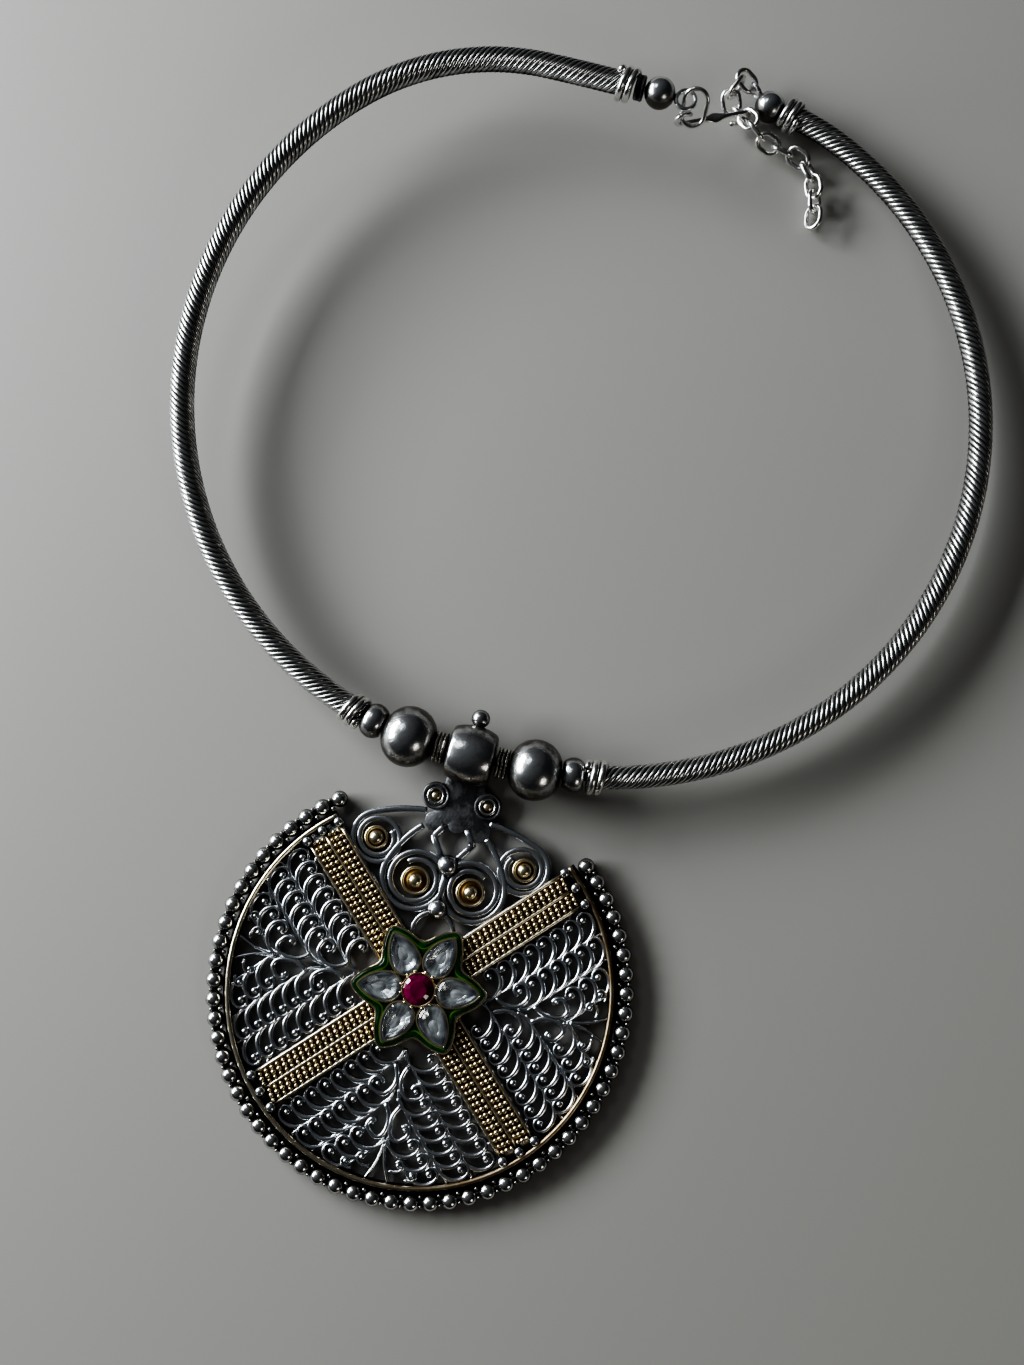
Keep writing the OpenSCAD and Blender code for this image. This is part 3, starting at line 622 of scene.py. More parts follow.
def loft(shape, rows, centre=(0, 0), closed=False):
    """A wall through rows of (distances from the centre, height, wear), with a cap at each end if open."""
    count = len(rows[0][0])
    a = round_angles(count)
    points = [in_plan(np.stack([centre[0] + r * np.cos(a), centre[1] + r * np.sin(a)], 1), z)
              for r, z, _ in rows]
    wear = np.repeat([row[2] for row in rows], count)
    faces = grid(len(rows), count, ring=closed)
    if not closed:
        n, last = len(rows) * count, (len(rows) - 1) * count
        points.append([(*centre, rows[0][1]), (*centre, rows[-1][1])])
        for i in range(count):
            j = (i + 1) % count
            faces.append([j, i, n])
            faces.append([last + i, last + j, n + 1])
        wear = np.append(wear, [wear[0], wear[-1]])
    shape.add(np.vstack(points), faces, wear)


# Materials

class Nodes:
    """A short way to write the nodes of a material or world."""

    def __init__(self, owner):
        self.owner = owner
        owner.use_nodes = True
        self.tree = owner.node_tree

    def node(self, kind, settings=None, **inputs):
        n = self.tree.nodes.new("ShaderNode" + kind)
        for key, value in (settings or {}).items():
            setattr(n, key, value)
        for key, value in inputs.items():
            self.put(n, key.replace("_", " "), value)
        return n

    def put(self, n, socket, value):
        if isinstance(value, bpy.types.NodeSocket):
            self.tree.links.new(value, n.inputs[socket])
        else:
            n.inputs[socket].default_value = value

    def stored(self, name, output="Fac"):
        """A value that the mesh stores at each point."""
        return self.node("Attribute", {"attribute_name": name}).outputs[output]

    def noise(self, scale, detail=3, rough=0.55):
        where = self.node("TexCoord").outputs["Object"]
        return self.node("TexNoise", Vector=where, Scale=scale, Detail=detail, Roughness=rough).outputs[0]

    def ramp(self, value, low, high, to_low=0.0, to_high=1.0):
        n = self.node("MapRange", Value=value)
        for socket, number in enumerate((low, high, to_low, to_high), 1):
            n.inputs[socket].default_value = number
        return n.outputs[0]

    def math(self, operation, a, b):
        n = self.node("Math", {"operation": operation})
        self.put(n, 0, a)
        self.put(n, 1, b)
        return n.outputs[0]

    def mix(self, share, a, b):
        n = self.node("Mix", {"data_type": "RGBA"})
        self.put(n, 0, share)
        for socket, value in ((6, a), (7, b)):
            self.put(n, socket, value if isinstance(value, bpy.types.NodeSocket) else (*value, 1))
        return n.outputs[2]


class Paint(Nodes):
    """A material of one shader."""

    def __init__(self, name):
        super().__init__(bpy.data.materials.new(name))
        self.tree.nodes.clear()
        self.shader = self.node("BsdfPrincipled")
        self.node("OutputMaterial", Surface=self.shader.outputs[0])

    def look(self, **inputs):
        """Sets or links sockets of the shader."""
        for key, value in inputs.items():
            self.put(self.shader, key.replace("_", " "), value)

    def bump(self, height, distance):
        self.look(Normal=self.node("Bump", Height=height, Distance=distance, Strength=1.0).outputs[0])


def metal(name, bright, tarnish_and_shade, rough, cover, grain, dents, patches=(0.35, 0.6)):
    """Worn metal: bright where rubbed, tarnished in the recesses and in faint patches, and darkened by the
    painted shade stored with the wear.
    """
    p = Paint(name)
    wear = p.stored("wear")
    patch = p.ramp(p.noise(*PATCH_NOISE), *patches, 0, cover)
    fine = p.noise(grain, 3, 0.6)
    facing = p.node("SeparateXYZ", Vector=p.node("TexCoord").outputs["Normal"]).outputs["Z"]
    shade = p.math("MAXIMUM", wear, p.ramp(facing, *BACK_FACING, 0.0, BACK_WEAR))
    shade = p.math("SUBTRACT", shade, patch)
    shade = p.math("ADD", shade, p.ramp(fine, 0.3, 0.7, -GRAIN_SHADE, GRAIN_SHADE))
    p.look(Base_Color=p.mix(p.ramp(shade, *BRIGHT_SHADE), tarnish_and_shade, bright),
           Roughness=p.ramp(shade, *SMOOTH_SHADE, rough[1], rough[0]), Metallic=1.0)
    p.bump(p.math("ADD", fine, p.noise(grain / 5, 2, 0.5)), dents)
    return p.owner


def enamel():
    """Dark green glass with faint clouds, with a painted pale lime glint at its edges."""
    p = Paint("enamel_green")
    green = p.mix(p.ramp(p.noise(700, 3), 0.35, 0.7), ENAMEL_DARK, ENAMEL_GREEN)
    p.look(Base_Color=p.mix(p.ramp(p.stored("wear"), 0.3, 1.0), green, ENAMEL_GLINT),
           Roughness=p.ramp(p.noise(900, 2), 0.3, 0.7, 0.06, 0.16))
    return p.owner


def clear_stone():
    """A clear stone on wrinkled foil: the foil's shine is in the body and the stone's in the coat."""
    p = Paint("clear_stone")
    along = p.node("Mapping", Vector=p.stored("local", "Vector"), Scale=FOIL_SCALE).outputs[0]
    foil = p.node("TexNoise", Vector=along, Scale=1.0, Detail=1.5, Roughness=0.4).outputs[0]
    inner = p.stored("wear")
    shine = p.math("ADD", p.ramp(foil, 0.40, 0.60, 0.0, 1.0), p.ramp(inner, 0, 1, 0.1, 0.0))
    p.look(Base_Color=p.mix(p.ramp(shine, 0, 1), STONE_DARK, STONE_BRIGHT),
           Roughness=p.ramp(foil, 0.3, 0.7, 0.14, 0.28),
           Metallic=STONE_METALLIC, Coat_Weight=1.0, Coat_Roughness=0.02)
    p.bump(p.math("SUBTRACT", p.ramp(foil, 0.3, 0.7, 0, FOIL_WRINKLE), inner), FOIL_DEPTH)
    return p.owner


def crimson_stone():
    p = Paint("crimson_stone")
    glow = p.noise(500, 3, 0.5)
    p.look(Base_Color=p.mix(p.ramp(glow, 0.35, 0.65), RUBY_DARK, RUBY_BRIGHT),
           Roughness=p.ramp(glow, 0.3, 0.7, 0.04, 0.08), IOR=RUBY_IOR)
    return p.owner


PAINTS = {name: metal(name, *row) for name, row in METALS.items()}
PAINTS.update(enamel_green=enamel(), clear_stone=clear_stone(), crimson_stone=crimson_stone())


# Neck ring

def rope(side):
    """The rope wound tube: strands as ridges that run round it in a left hand screw."""
    r = ROPE_D[side] / 2
    strands = ROPE_STRANDS[side]
    across = 2 * np.array(STRAND_STATIONS) - 1
    ridge = r - GROOVE_DEPTH * (1 - np.sqrt(1 - STRAND_ROUND * across ** 2))
    radii = np.tile(ridge, strands)
    angles = (np.arange(strands)[:, None] + STRAND_STATIONS).ravel() * 2 * pi / strands
    wear = np.tile(worn_and_shaded("strand", np.sqrt(1 - across ** 2)), strands)
    frames = walk(tube_plane(side), ARCS[side], ROPE_STEP)
    per_mm = tan(radians(ROPE_LEAN)) / r
    shape = Shape()
    rows, worn_and_shaded_rows = [], []
    for f, s in zip(frames, lengths(places(frames))):
        a = angles - s * per_mm
        rows.append(moved(np.stack([np.zeros_like(a), radii * np.cos(a), radii * np.sin(a)], 1), f))
        # Painted shade on the tube's lower side, over the strands' wear
        worn_and_shaded_rows.append(np.minimum(wear, worn_and_shaded("rope", (rows[-1][:, 2] - f[2, 3]) / r)))
    shape.add(np.vstack(rows), flat_ended(len(rows), len(angles)), np.concatenate(worn_and_shaded_rows))
    shape.finish(f"rope_{SIDES[side]}", RING, f"tube_{SIDES[side]}", "rope_silver")


def coil(end, side, place):
    """Slanting turns of round wire wound over a tube's end, each end tucked in."""
    r = (COIL_D - COIL_WIRE) / 2
    a = np.linspace(0, COIL_TURNS * 2 * pi, int(COIL_TURNS * COIL_STEPS) + 1)
    inward = COIL_TUCK * (np.exp(-a / COIL_TUCK_OVER) + np.exp((a - a[-1]) / COIL_TUCK_OVER))
    radial = np.stack([np.zeros_like(a), np.cos(a), np.sin(a)], 1)
    points = radial * (r - inward)[:, None]
    points[:, 0] = (COIL_TURNS / 2 - a / (2 * pi)) * COIL_PITCH + COIL_LEAN * radial[:, 1] * r
    shape = Shape()
    sweep(shape, [place @ f for f in ahead(points, radial)], *wire("coil", COIL_WIRE, COIL_WIRE))
    shape.finish(f"{end}_coil_{SIDES[side]}", RING, f"coil_{end}_{SIDES[side]}", "wire_silver")


def bead_wear(profile, dark=0.35, bright=0.7):
    """Dark up to one share of the crown's radius, and bright from another."""
    share = profile[:, 1] / profile[:, 1].max()
    return np.clip((share - dark) / (bright - dark), 0.1, 1)


def bead(kind, side):
    """A bead of the front wire, darker towards its ends, with painted shade below."""
    at, length, d, side_r, along, segments = BEADS[kind]
    shape = Shape()
    outside = lathe_arc(length / 2, d / 2, side_r, along)
    bored(shape, on_front(side, at), outside, WIDE_BORE_D, BEAD_RIM, bead_wear(outside), segments)
    shape.shade_below(AXIS_Z, d / 2)
    name = f"{kind}_bead_{SIDES[side]}"
    shape.finish(name + "_polished", RING, name, "polished_silver", crease=50)


def spacer(side):
    """Three ribs, each notched round like a beaded wire."""
    shape = Shape()
    step = np.arange(RIBS * RIB_STEPS + 1)
    a = pi * (step % RIB_STEPS) / RIB_STEPS
    x = -SPACER_L / 2 + SPACER_L / RIBS * (step // RIB_STEPS + (1 - np.cos(a)) / 2)
    profile = np.stack([x, SPACER_D / 2 - RIB_H + RIB_H * np.sin(a)], 1)
    bored(shape, UNMOVED, profile, WIDE_BORE_D, BEAD_RIM, worn_and_shaded("rib", np.sin(a)), 96)
    points = shape.points[0]
    outer = np.hypot(points[:, 1], points[:, 2]) > SPACER_D / 2 - NOTCH_REACH
    a = np.arctan2(points[:, 2], points[:, 1])
    points[:, 1:] *= (1 - NOTCH_DEPTH * (1 - np.abs(np.cos(a * NOTCHES / 2))) * outer)[:, None]
    name = f"spacer_{SIDES[side]}"
    shape.finish(name + "_ribbed", RING, name, "spacer_silver", crease=50, within=on_front(side, SPACER_AT))


def collar_back():
    shape = Shape()
    half, r, soft = COLLAR_L / 2, COLLAR_D / 2, COLLAR_SOFT
    profile = [(-half, 0), (-half, r - soft), (-half + soft, r), (0, r - COLLAR_GROOVE), (half - soft, r),
               (half, r - soft), (half, 0)]
    revolve(shape, on_back(-1, COLLAR_AT), profile, 64, wear=[0, 0.2, 0.8, 0.3, 0.8, 0.2, 0])
    shape.finish("collar_back", RING, "collar_back_left", "dark_silver", crease=50)


def core_wire():
    shape = Shape()
    stations = np.linspace(STRAIGHT_HALF, TUBE_FROM - CORE_SHORTER, 16)
    points = places([on_front(-1, s) for s in stations[::-1]] + [on_front(1, s) for s in stations])
    d = CORE_D - CORE_THINNER
    sweep(shape, ahead(points), oval(d, d, 20), CORE_WEAR)
    shape.finish("core_wire_dark", RING, "core_wire", "dark_silver")


def back_bead(side):
    """The round bead at the open end, its wire eye soldered on."""
    shape = Shape()
    place = on_back(side, BACK_BEAD_AT[side])
    r = BACK_BEAD_D / 2
    outside = half_circle(r, 33)
    revolve(shape, place, outside, 64, bead_wear(outside, 0.2, 0.6))
    # Painted shade on the bead's lower side
    shape.shade_below(place[2, 3], r)
    about_z, about_x = EYE_TURN[side]
    eye = place @ turn("Z", about_z) @ shift(r + EYE_R[side] + EYE_GAP[side]) @ turn("X", about_x)
    wire_ring(shape, eye, EYE_R[side], oval(EYE_WIRE, EYE_WIRE))
    name = f"bead_back_{SIDES[side]}"
    shape.finish(name + "_polished", RING, name, "polished_silver")


def oval_link(shape, place, length, width, wire):
    """One closed oval of wire in the frame's XY plane."""
    r = (width - wire) / 2
    straight = length - width
    start = place @ shift(-straight / 2, -r)
    path = walk(start, [(0, straight), (r, 180), (0, straight), (r, 180)], LINK_STEP)[:-1]
    sweep(shape, path, oval(wire, wire), closed=True)


def jump_ring():
    shape = Shape()
    place = PLACED @ shift(*RING_AT) @ turn("X", RING_TILT) @ turn("Z", 90)
    width = 2 * RING_R + RING_WIRE
    oval_link(shape, place, RING_SIDE + width, width, RING_WIRE)
    shape.finish("jump_ring_wire", RING, "jump_ring", "wire_silver")


def s_hook():
    """An S of wire on edge, hammered flat for a short way."""
    shape = Shape()
    place = PLACED @ shift(*HOOK_AT) @ turn("Z", HOOK_TURN) @ turn("Y", HOOK_DIP) @ turn("X", 90)
    place = place @ shift(0, -HOOK_R[0])
    back = walk(place @ turn("Z", 180), [(-HOOK_R[0], HOOK_CURL)], HOOK_STEPS[0])
    front = walk(place, [(0, HOOK_L), (-HOOK_R[1], HOOK_CURL)], HOOK_STEPS[1])
    points = places(back[:0:-1] + front)
    along = lengths(points)
    at, spread, thinner, wider = HOOK_FLAT
    flat = np.exp(-(((along - along[len(back) - 1]) / HOOK_L - at) / spread) ** 2)
    scale = np.stack([1 - thinner * flat, 1 + wider * flat], 1)
    sweep(shape, ahead(points, place[:3, 2]), oval(HOOK_WIRE, HOOK_WIRE, 14), scale=scale)
    for end in (points[0], points[-1]):
        ball(shape, end, HOOK_WIRE / 2, "wire end")
    shape.finish("s_hook_wire", RING, "s_hook", "wire_silver")


def chain():
    shape = Shape()
    at = np.array([link[:3] for link in LINKS])
    for i, (x, y, z, roll) in enumerate(LINKS):
        h = at[0] - CHAIN_FROM if i == 0 else at[min(i + 1, len(LINKS) - 1)] - at[i - 1]
        h = h / np.linalg.norm(h)
        place = PLACED @ shift(x, y, z) @ turn("Z", degrees(atan2(h[1], h[0])))
        place = place @ turn("Y", -degrees(asin(h[2]))) @ turn("X", roll)
        oval_link(shape, place, LINK_L, LINK_W, LINK_WIRE)
    shape.finish("chain_links", RING, "extension_chain", "wire_silver")


# Pendant

def filigree(angle):
    """One pierced sector: two mirrored halves of curls, each curl with a ball in its eye."""
    shape = Shape()
    middle_z = FRAME_TOP - WIRE_H / 2
    # Painted shade darkens the lower sides of the wires
    profile, wear = wire("filigree", WIRE_W, WIRE_H, 10, 0.85)

    def lay(points, side, share, per_span=4, lower=0.0, curl=False):
        line = in_plan(spline(points, per_span) * (SECTOR_GROW, SECTOR_GROW * side), middle_z - lower)
        scale = np.ones((len(line), 2))
        if curl:
            thinner = CURL_TAPER * (1 - np.clip(np.arange(len(line)) / (CURL_LEAD * per_span), 0, 1))
            line[:, 2] -= thinner / 2
            swell = CURL_SWELL * np.exp(-((np.linspace(0, 1, len(line)) - BACK_AT) / BACK_SPREAD) ** 2)
            scale[:, 0] = (1 - thinner) * (CURL_THIN + swell)
        sweep(shape, ahead(line), profile * (share, 1), wear, scale=scale)

    def eye(at, side, r):
        ball(shape, (SECTOR_GROW * at[0], SECTOR_GROW * side * at[1], FRAME_TOP - 0.1), r, "grain")

    for side in (-1, 1):
        for out, away, step_out, step_away, count in CURL_ROWS:
            for i in range(count):
                at = (out + i * step_out, away + i * step_away)
                lay([(at[0] + u, at[1] + v) for u, v in CURL], side, 1.0, curl=True)
                eye(at, side, CURL_BALL)
        for out, away, size in SMALL_CURLS:
            lay([(out + u * size, away + v * size) for u, v in CURL[2:]], side, SMALL_WIDTH)
            eye((out, away), side, CURL_BALL * 0.8)
        for points, at, r in LARGE_CURLS:
            lay(points, side, LARGE_WIDTH)
            eye(at, side, r)
        for points in STEMS:
            lay(points, side, STEM_WIDTH, 6, STEM_LOWER)
    within = HUNG @ turn("Z", angle)
    shape.finish(f"filigree_{SECTORS[angle]}", PENDANT, "pendant_frame", "frame_silver", within=within)


def round_path(radius, z, first, span, step):
    """Frames along a circle round the pendant's middle, from a first direction over a span."""
    return walk(turn("Z", first) @ shift(radius, 0, z) @ turn("Z", 90), [(radius, span)], step)


def rim_path(radius, z, step):
    """Frames along the rim, from one upper arm round the bottom to the other."""
    ends = degrees(asin(ARM_W / 2 / RIM_R))
    return round_path(radius, z, ARM_ANGLES[1] - ends, 270 + 2 * ends, step)


def rim_and_arms():
    """The rim band round the disc, the bed of each arm and the shot at the arms' outer ends."""
    shape = Shape()
    rim = oval(FRAME_R - RIM_INNER, FRAME_T, 16, 0.35)
    sweep(shape, rim_path((FRAME_R + RIM_INNER) / 2, FRAME_MID_Z, RIM_STEP), rim, RIM_SIDE_WEAR)
    bed, wear = wire("arm", ARM_W, FRAME_T, 16, 0.3)
    for a in ARM_ANGLES:
        m = turn("Z", a) @ shift(0, 0, FRAME_MID_Z)
        sweep(shape, [m @ shift(x) for x in np.linspace(ARM_FROM, ARM_TO, 12)], bed, wear)
        for k in (-1, 0, 1):
            centre = polar(END_BALL_R, a + k * END_BALL_STEP, FRAME_TOP + END_BALL_UP)
            ball(shape, centre, END_BALL_D / 2, "end ball")
    shape.finish("rim_and_arms", PENDANT, "pendant_frame", "frame_silver", within=HUNG)


def scrollwork():
    """Spirals, struts, arch and the two large shot between the upper arms."""
    shape = Shape()
    profile, wear = wire("scroll", SCROLL_W, SCROLL_H, 14, 0.6)
    z = SCROLL_Z + SCROLL_H / 2
    for side in (-1, 1):
        for start, heading, arcs in SPIRALS:
            points = places(walk(shift(*start, z) @ turn("Z", heading), arcs, SCROLL_STEP)) * (side, 1, 1)
            narrowing = np.linspace(1.0, SCROLL_END, len(points))
            sweep(shape, ahead(points), profile, wear, scale=np.stack([narrowing, narrowing], 1))
        strut = [(x * side, y) for x, y in STRUT]
        for a, b in zip(strut, strut[1:]):
            sweep(shape, ahead(in_plan(np.linspace(a, b, 4), z)), profile, wear)
        ball(shape, (*strut[1], z), SCROLL_W / 2, "wire end", squash=SCROLL_H / SCROLL_W)
    start = shift(-ARCH_R, ARCH_Y, z) @ turn("Z", 90)
    arch = places(walk(start, [(0, ARCH_LEG), (-ARCH_R, 180), (0, ARCH_LEG)], SCROLL_STEP))
    sweep(shape, ahead(arch), profile * (ARCH_WIDTH, 1), wear)
    sweep(shape, ahead(in_plan(POST, z)), profile * (POST_WIDTH, 1), wear)
    for x, y, d in LARGE_SHOT:
        ball(shape, (x, y, FRAME_Z + LARGE_SHOT_UP), d / 2, "shot", LARGE_SHOT_DARK)
    shape.finish("scrollwork", PENDANT, "pendant_frame", "frame_silver", within=HUNG)


def furthest(distance, t):
    """The furthest step out, in each direction, that is still within t."""
    return np.array([REACH_STEPS[row <= t][-1] for row in distance])


def box_distance(x, y, box):
    """Distance from a box given as low x, low y, high x, high y."""
    outside_x = np.maximum(box[0] - x, x - box[2])
    outside_y = np.maximum(box[1] - y, y - box[3])
    return np.hypot(np.maximum(outside_x, 0), np.maximum(outside_y, 0)) + np.minimum(
        np.maximum(outside_x, outside_y), 0)


def plate_outline():
    """Reach of the bail plate's scalloped outline from its middle, in each direction."""
    a = round_angles(PLATE_POINTS)[:, None]
    x, y = PLATE_MIDDLE[0] + REACH_STEPS * np.cos(a), PLATE_MIDDLE[1] + REACH_STEPS * np.sin(a)
    near = sum(np.exp((r - np.hypot(x - cx, y - cy)) / PLATE_SOFT) for cx, cy, r in PLATE_CIRCLES)
    near = near + sum(np.exp(-box_distance(x, y, box) / PLATE_SOFT) for box in PLATE_BOXES)
    return furthest(-PLATE_SOFT * np.log(near), 0)


def bail_plate():
    """The scalloped plate under the bail, its edge rounded, with two raised eyelets."""
    shape = Shape()
    outline = plate_outline()
    rows = [(outline * share - inset, FRAME_Z + z, wear) for share, inset, z, wear in PLATE_ROWS]
    loft(shape, rows, PLATE_MIDDLE)
    for side in (-1, 1):
        for radius, width, height, lift, kind, paint in EYELET_WIRES:
            place = shift(side * EYELET[0], EYELET[1], FRAME_Z + PLATE_H + lift)
            wire_ring(shape, place, radius, *wire(kind, width, height), paint)
    shape.finish("bail_plate", PENDANT, "pendant_frame", "plate_silver", "wire_silver",
                 crease=45, within=HUNG)


def barrel():
    """The barrel bail that turns on the front wire, with its ball."""
    shape = Shape()
    half, r = BARREL_L / 2, BARREL_D / 2
    outside = lathe_arc(half, r, BARREL_SIDE_R, 33)
    near_end = np.clip((np.abs(outside[:, 0]) - (half - BARREL_SOFT)) / BARREL_SOFT, 0, 1)
    outside[:, 1] -= BARREL_SOFT * (1 - np.sqrt(1 - near_end ** 2))
    place = PLACED @ shift(0, 0, AXIS_Z)
    bored(shape, place, outside, BORE_D, BARREL_RIM, worn_and_shaded("barrel end", near_end), 96)
    # Painted shade on the barrel's lower side
    shape.shade_below(AXIS_Z, r)
    centre = moved(np.array([0, BAIL_BALL_Y, 0]), place)
    ball(shape, centre, BAIL_BALL_D / 2, "shot", LARGE_SHOT_DARK)
    shape.finish("barrel_bail", PENDANT, "pendant_frame", "polished_silver", crease=50)


def border():
    """The row of beads round the disc on their string, with two grains between neighbours."""
    shape = Shape()
    z = BORDER_D / 2
    r = z + BORDER_SWELL
    for i in range(BORDER_COUNT):
        a = BORDER_FROM + i * BORDER_STEP
        ball(shape, polar(BORDER_R, a, r), r, "border bead", BORDER_DARK)
        for out, d in BORDER_GRAINS if i < BORDER_COUNT - 1 else ():
            centre = polar(BORDER_R + out, a + BORDER_STEP / 2, z + BORDER_GRAIN_UP)
            ball(shape, centre, d / 2, "small grain")
            shape.wear[-1] = shape.wear[-1] * BORDER_GRAIN_WEAR
    string = round_path(BORDER_R, z, BORDER_FROM, (BORDER_COUNT - 1) * BORDER_STEP, STRING_STEP)
    sweep(shape, string, oval(STRING_W, STRING_H), 0.0)
    shape.finish("border_row", PENDANT, "border_beads", "bead_silver", within=HUNG)


def gold_rim():
    """The fine gold wire on the rim, with painted light on the side towards the key lamp and painted shade
    away from it.
    """
    shape = Shape()
    path = rim_path(RIM_R, FRAME_TOP + RIM_WIRE / 2 + RIM_UP, RIM_WIRE_STEP)
    sweep(shape, path, *wire("rim", RIM_WIRE, RIM_WIRE))
    # Painted light towards the key lamp, fading to painted shade on the far side of the disc
    toward = shape.points[-1] @ polar(1, RIM_LIT_TOWARD) / RIM_R
    beside, change, least = RIM_SHADE_FADE
    shape.wear[-1] = shape.wear[-1] * np.clip(beside + change * toward, least, 1)
    shape.finish("gold_rim_wires", PENDANT, "gold_rim", "pale_gold", within=HUNG)


def gold_band(i):
    """A gold strip with three plain wires and three rows of grains in each channel between them."""
    shape = Shape()
    stations = np.linspace(BAND_FROM, BAND_TO, 12)
    bed = oval(2 * BAND_PITCH + BAND_WIRE, BAND_T, power=0.3)
    sweep(shape, [shift(x, 0, BAND_Z + BAND_T / 2) for x in stations], bed, BAND_WEAR)
    profile, wear = wire("band", BAND_WIRE, BAND_WIRE)
    for k in (-1, 0, 1):
        sweep(shape, [shift(x, k * BAND_PITCH, BAND_WIRE_Z) for x in stations], profile, wear, paint=1)
    for channel in (-1, 1):
        for row in (-1, 0, 1):
            y = channel * BAND_PITCH / 2 + row * GRAIN_ROW
            first = BAND_FROM + GRAIN_D / 2 + GRAIN_LEAD[0] + GRAIN_LEAD[1] * (row + 1)
            r = GRAIN_D / 2 + (GRAIN_SWELL if row == 0 else -GRAIN_SWELL)
            for k in range(round((BAND_TO - BAND_FROM) / GRAIN_STEP)):
                centre = (first + k * GRAIN_STEP, y, BAND_Z + BAND_T + r - GRAIN_SINK)
                ball(shape, centre, r, "grain", GRAIN_DARK)
    within = HUNG @ turn("Z", ARM_ANGLES[i - 1])
    shape.finish(f"gold_grains_{i}", PENDANT, f"gold_band_{i}", "gold", "pale_gold", within=within)


def gold_dome(kind, side):
    """A gold shot in a low cup with a raised edge, in the eye of a spiral."""
    x, y, d = DOMES[kind]
    r, shot_r = d / 2, DOME_SHOT_D / 2
    shape = Shape()
    # The cup from its foot to the shot: height, radius, wear
    cup = [(0, 0, 0), (0, r, 0), (0.85, r, 0.4), (1.0, r - 0.1, 0.9), (1.05, r - 0.25, 1),
           (1.0, r - 0.4, 0.9), (0.85, r - 0.55, 0.5), (0.72, (r + shot_r) / 2, 0.3),
           (0.78, shot_r + 0.05, 0.1)]
    a = np.linspace(0.05, pi / 2, 14)
    dome = np.stack([DOME_SHOT_UP + shot_r * np.sin(a), shot_r * np.cos(a), worn_and_shaded("dome", np.sin(a))], 1)
    rows = np.vstack([cup, dome])
    revolve(shape, shift(side * x, y, FRAME_Z) @ turn("Y", -90), rows[:, :2], 40, rows[:, 2])
    name = f"gold_dome_{kind}_{SIDES[side]}"
    shape.finish(name + "_shot", PENDANT, name, "gold", crease=60, within=HUNG)


def studs():
    shape = Shape()
    for side in (-1, 1):
        centre = (side * EYELET[0], EYELET[1], FRAME_Z + PLATE_H + STUD_UP)
        ball(shape, centre, STUD_R, "stud", squash=STUD_SQUASH)
    shape.finish("eyelet_shot", PENDANT, "eyelet_studs", "gold", within=HUNG)


# Flower

def pear_distance(x, y):
    """Distance from a pear outline, negative inside; its round end at the origin and its point along X."""
    y = np.abs(y)
    r = (PETAL_L ** 2 + PETAL_W ** 2 / 4) / PETAL_W
    off = r - PETAL_W / 2
    side = np.where(PETAL_L * (y + off) < off * x, np.hypot(x - PETAL_L, y), np.hypot(x, y + off) - r)
    return np.where(x < 0, np.hypot(x, y) - PETAL_W / 2, side)


@lru_cache
def flower_outline(t):
    """Reach from the middle of the six petals' common outline, widened by t, with rounded notches."""
    a = round_angles(FLOWER_POINTS)[:, None]
    near = 0
    for k in range(PETALS):
        b = a - radians(k * 360 / PETALS)
        x, y = REACH_STEPS * np.cos(b) - PETAL_R, REACH_STEPS * np.sin(b)
        near = near + np.exp(-pear_distance(x, y) / NOTCH_SOFT)
    return furthest(-NOTCH_SOFT * np.log(near), t)


def pear_reach(t, count):
    """The same for one pear, from its own middle."""
    a = round_angles(count)[:, None]
    return furthest(pear_distance(REACH_STEPS * np.cos(a) + PEAR_MID, REACH_STEPS * np.sin(a)), t)


def flower_setting():
    """The gold bed with its outer edge, and a collet round each stone."""
    shape = Shape()
    loft(shape, [(flower_outline(t), z, wear) for t, z, wear in SETTING_EDGE])
    post = np.full(48, SETTING_POST_R)
    loft(shape, [(post, z, SETTING_POST_WEAR) for z in (FRAME_TOP - 0.2, SETTING_Z + 0.1)])
    collet = [(pear_reach(t, 72) - inset, z, wear) for t, inset, z, wear in COLLET]
    for k in range(PETALS):
        petal = Shape()
        loft(petal, collet, closed=True)
        shape.add(moved(petal.points[0], petal_place(k)), petal.faces, petal.wear[0])
        for side in (-1, 1):
            centre = polar(PRONG_AT, k * 360 / PETALS + side * PRONG_TURN, BEZEL_TOP - 0.1)
            ball(shape, centre, PRONG_R, "small grain")
    loft(shape, [(np.full(64, RUBY_D / 2 + out), z, wear) for out, z, wear in RUBY_COLLET], closed=True)
    shape.finish("flower_gold", PENDANT, "flower_setting", "gold", crease=50, within=FLOWER)


def flower_enamel():
    """The glossy green bed between the gold edge and the collets, swelling in its middle."""
    shape = Shape()
    rows = [(flower_outline(t), z, wear) for t, z, wear in ENAMEL]
    inner = np.minimum(flower_outline(ENAMEL_INNER), ENAMEL_INNER_R)
    rows += [(inner, ENAMEL_TOP - 0.06, 0.1), (inner * 0.6, ENAMEL_TOP - 0.1, 0)]
    rows = [(rows[0][0], ENAMEL_FOOT, 0)] + rows + [(rows[-1][0], ENAMEL_FOOT, 0)]
    loft(shape, rows, closed=True)
    shape.finish("flower_enamel_glaze", PENDANT, "flower_enamel", "enamel_green", within=FLOWER)


def stone(name, node, paint, girdle, cut, crease, within):
    """A cut stone: girdle, crown facets and table."""
    shape = Shape()
    loft(shape, [(girdle * share, SETTING_FLOOR + z, wear) for share, z, wear in cut])
    shape.finish(name, PENDANT, node, paint, crease=crease, within=within)


# Stage

def stage():
    """A plain pale floor."""
    corners = [(x * FLOOR_HALF, y * FLOOR_HALF, 0) for x, y in ((-1, -1), (1, -1), (1, 1), (-1, 1))]
    mesh = bpy.data.meshes.new("floor")
    mesh.from_pydata(corners, [], [(0, 1, 2, 3)])
    floor = link_object("floor", mesh)
    p = Paint("floor")
    p.look(Base_Color=FLOOR_COLOUR, Roughness=FLOOR_ROUGH)
    mesh.materials.append(p.owner)


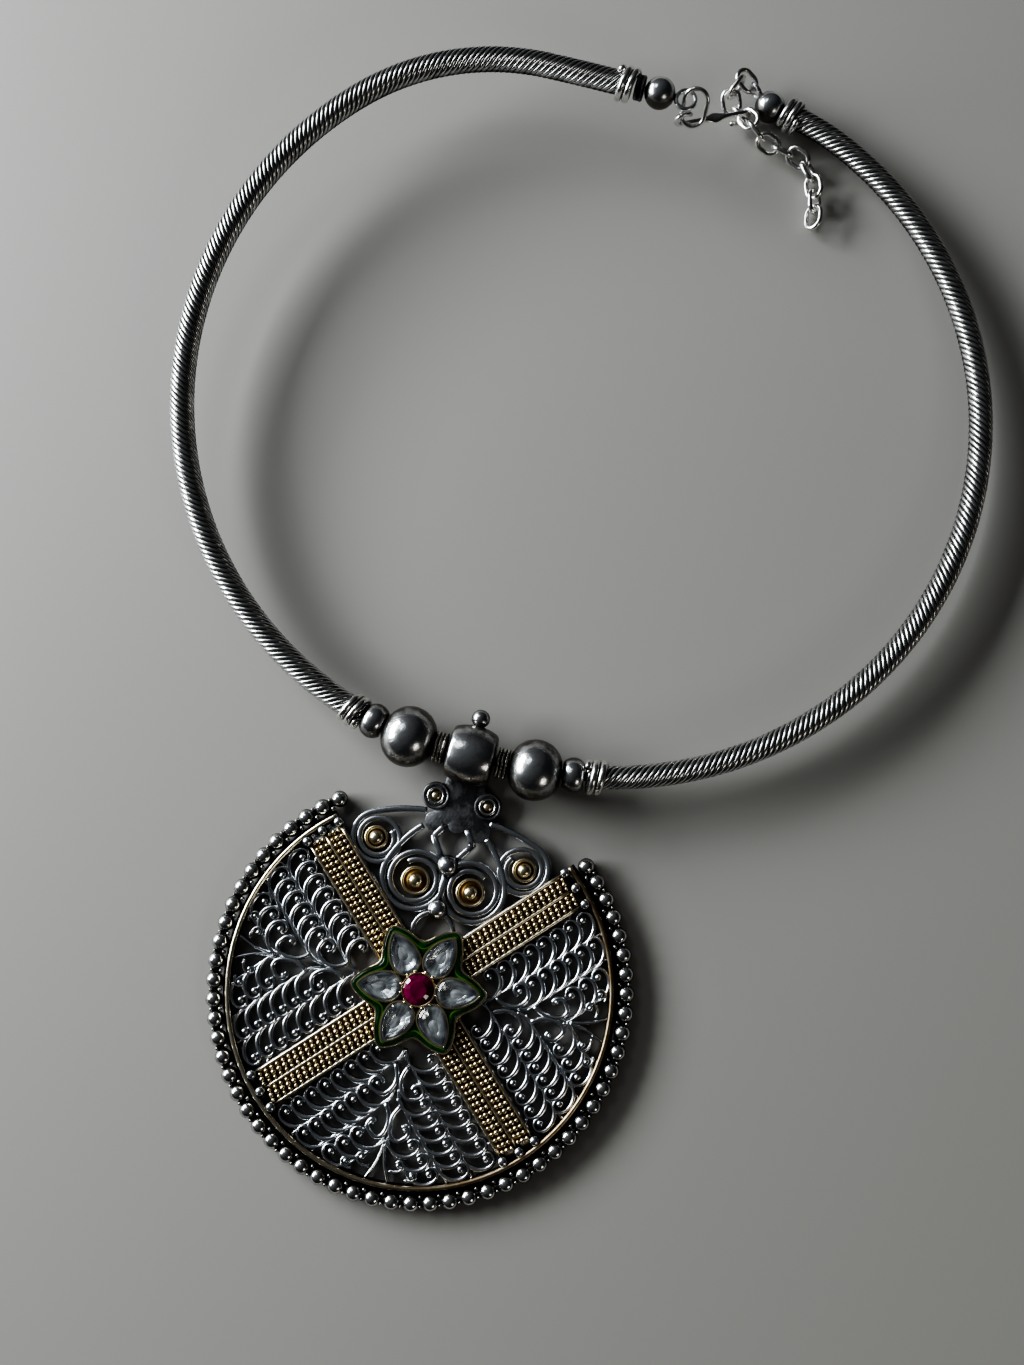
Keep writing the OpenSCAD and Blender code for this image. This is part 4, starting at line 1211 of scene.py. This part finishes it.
def lights():
    """A window to the left, a weaker one above it, a little light from the right, and a soft dim room."""
    for name, (direction, distance, size, watts, colour) in LAMPS.items():
        light = bpy.data.lights.new(name, "AREA")
        light.shape, light.size, light.size_y = "RECTANGLE", size[0], size[1]
        light.energy, light.color = watts, colour
        lamp = link_object(name, light)
        way = Vector(direction).normalized()
        lamp.location = way * distance
        lamp.rotation_euler = way.to_track_quat("Z", "Y").to_euler()
    room = Nodes(bpy.data.worlds.new("studio"))
    bpy.context.scene.world = room.owner
    where = room.node("TexCoord").outputs["Generated"]
    toward = room.node("VectorMath", {"operation": "DOT_PRODUCT"})
    room.put(toward, 0, where)
    room.put(toward, 1, ROOM_TOWARD)
    background = room.tree.nodes["Background"]
    room.put(background, "Strength", room.ramp(toward.outputs["Value"], *ROOM_LEVELS))
    room.put(background, "Color", ROOM_COLOUR)
    bpy.context.scene.view_settings.look = "AgX - High Contrast"


def camera():
    data = bpy.data.cameras.new("camera")
    data.sensor_fit = "VERTICAL"
    data.sensor_height = SENSOR_H
    data.lens = SENSOR_H * FOCAL_PX / IMAGE_H
    data.clip_start, data.clip_end = CLIP_FROM, CLIP_TO
    eye = link_object("camera", data)
    eye.location = Vector(CAMERA_AT) * MM
    eye.rotation_euler = Euler([radians(a) for a in CAMERA_TURN])
    bpy.context.scene.camera = eye


camera()
lights()
stage()
core_wire()
collar_back()
jump_ring()
s_hook()
chain()
for side in SIDES:
    rope(side)
    coil("front", side, on_front(side, COIL_AT))
    coil("back", side, on_back(side, BACK_COIL_AT[side]))
    for kind in BEADS:
        bead(kind, side)
    spacer(side)
    back_bead(side)
    for kind in DOMES:
        gold_dome(kind, side)
for angle in SECTORS:
    filigree(angle)
rim_and_arms()
scrollwork()
bail_plate()
barrel()
border()
gold_rim()
for i in range(1, 5):
    gold_band(i)
studs()
flower_setting()
flower_enamel()
for k in range(PETALS):
    girdle = pear_reach(STONE_ROOM, 24)
    stone(f"pear_cut_{k + 1}", f"pear_stone_{k + 1}", "clear_stone", girdle, PEAR_CUT, 15,
          FLOWER @ petal_place(k))
stone("ruby_cut", "ruby", "crimson_stone", np.full(16, RUBY_D / 2 - STONE_ROOM), RUBY_CUT, 8, FLOWER)
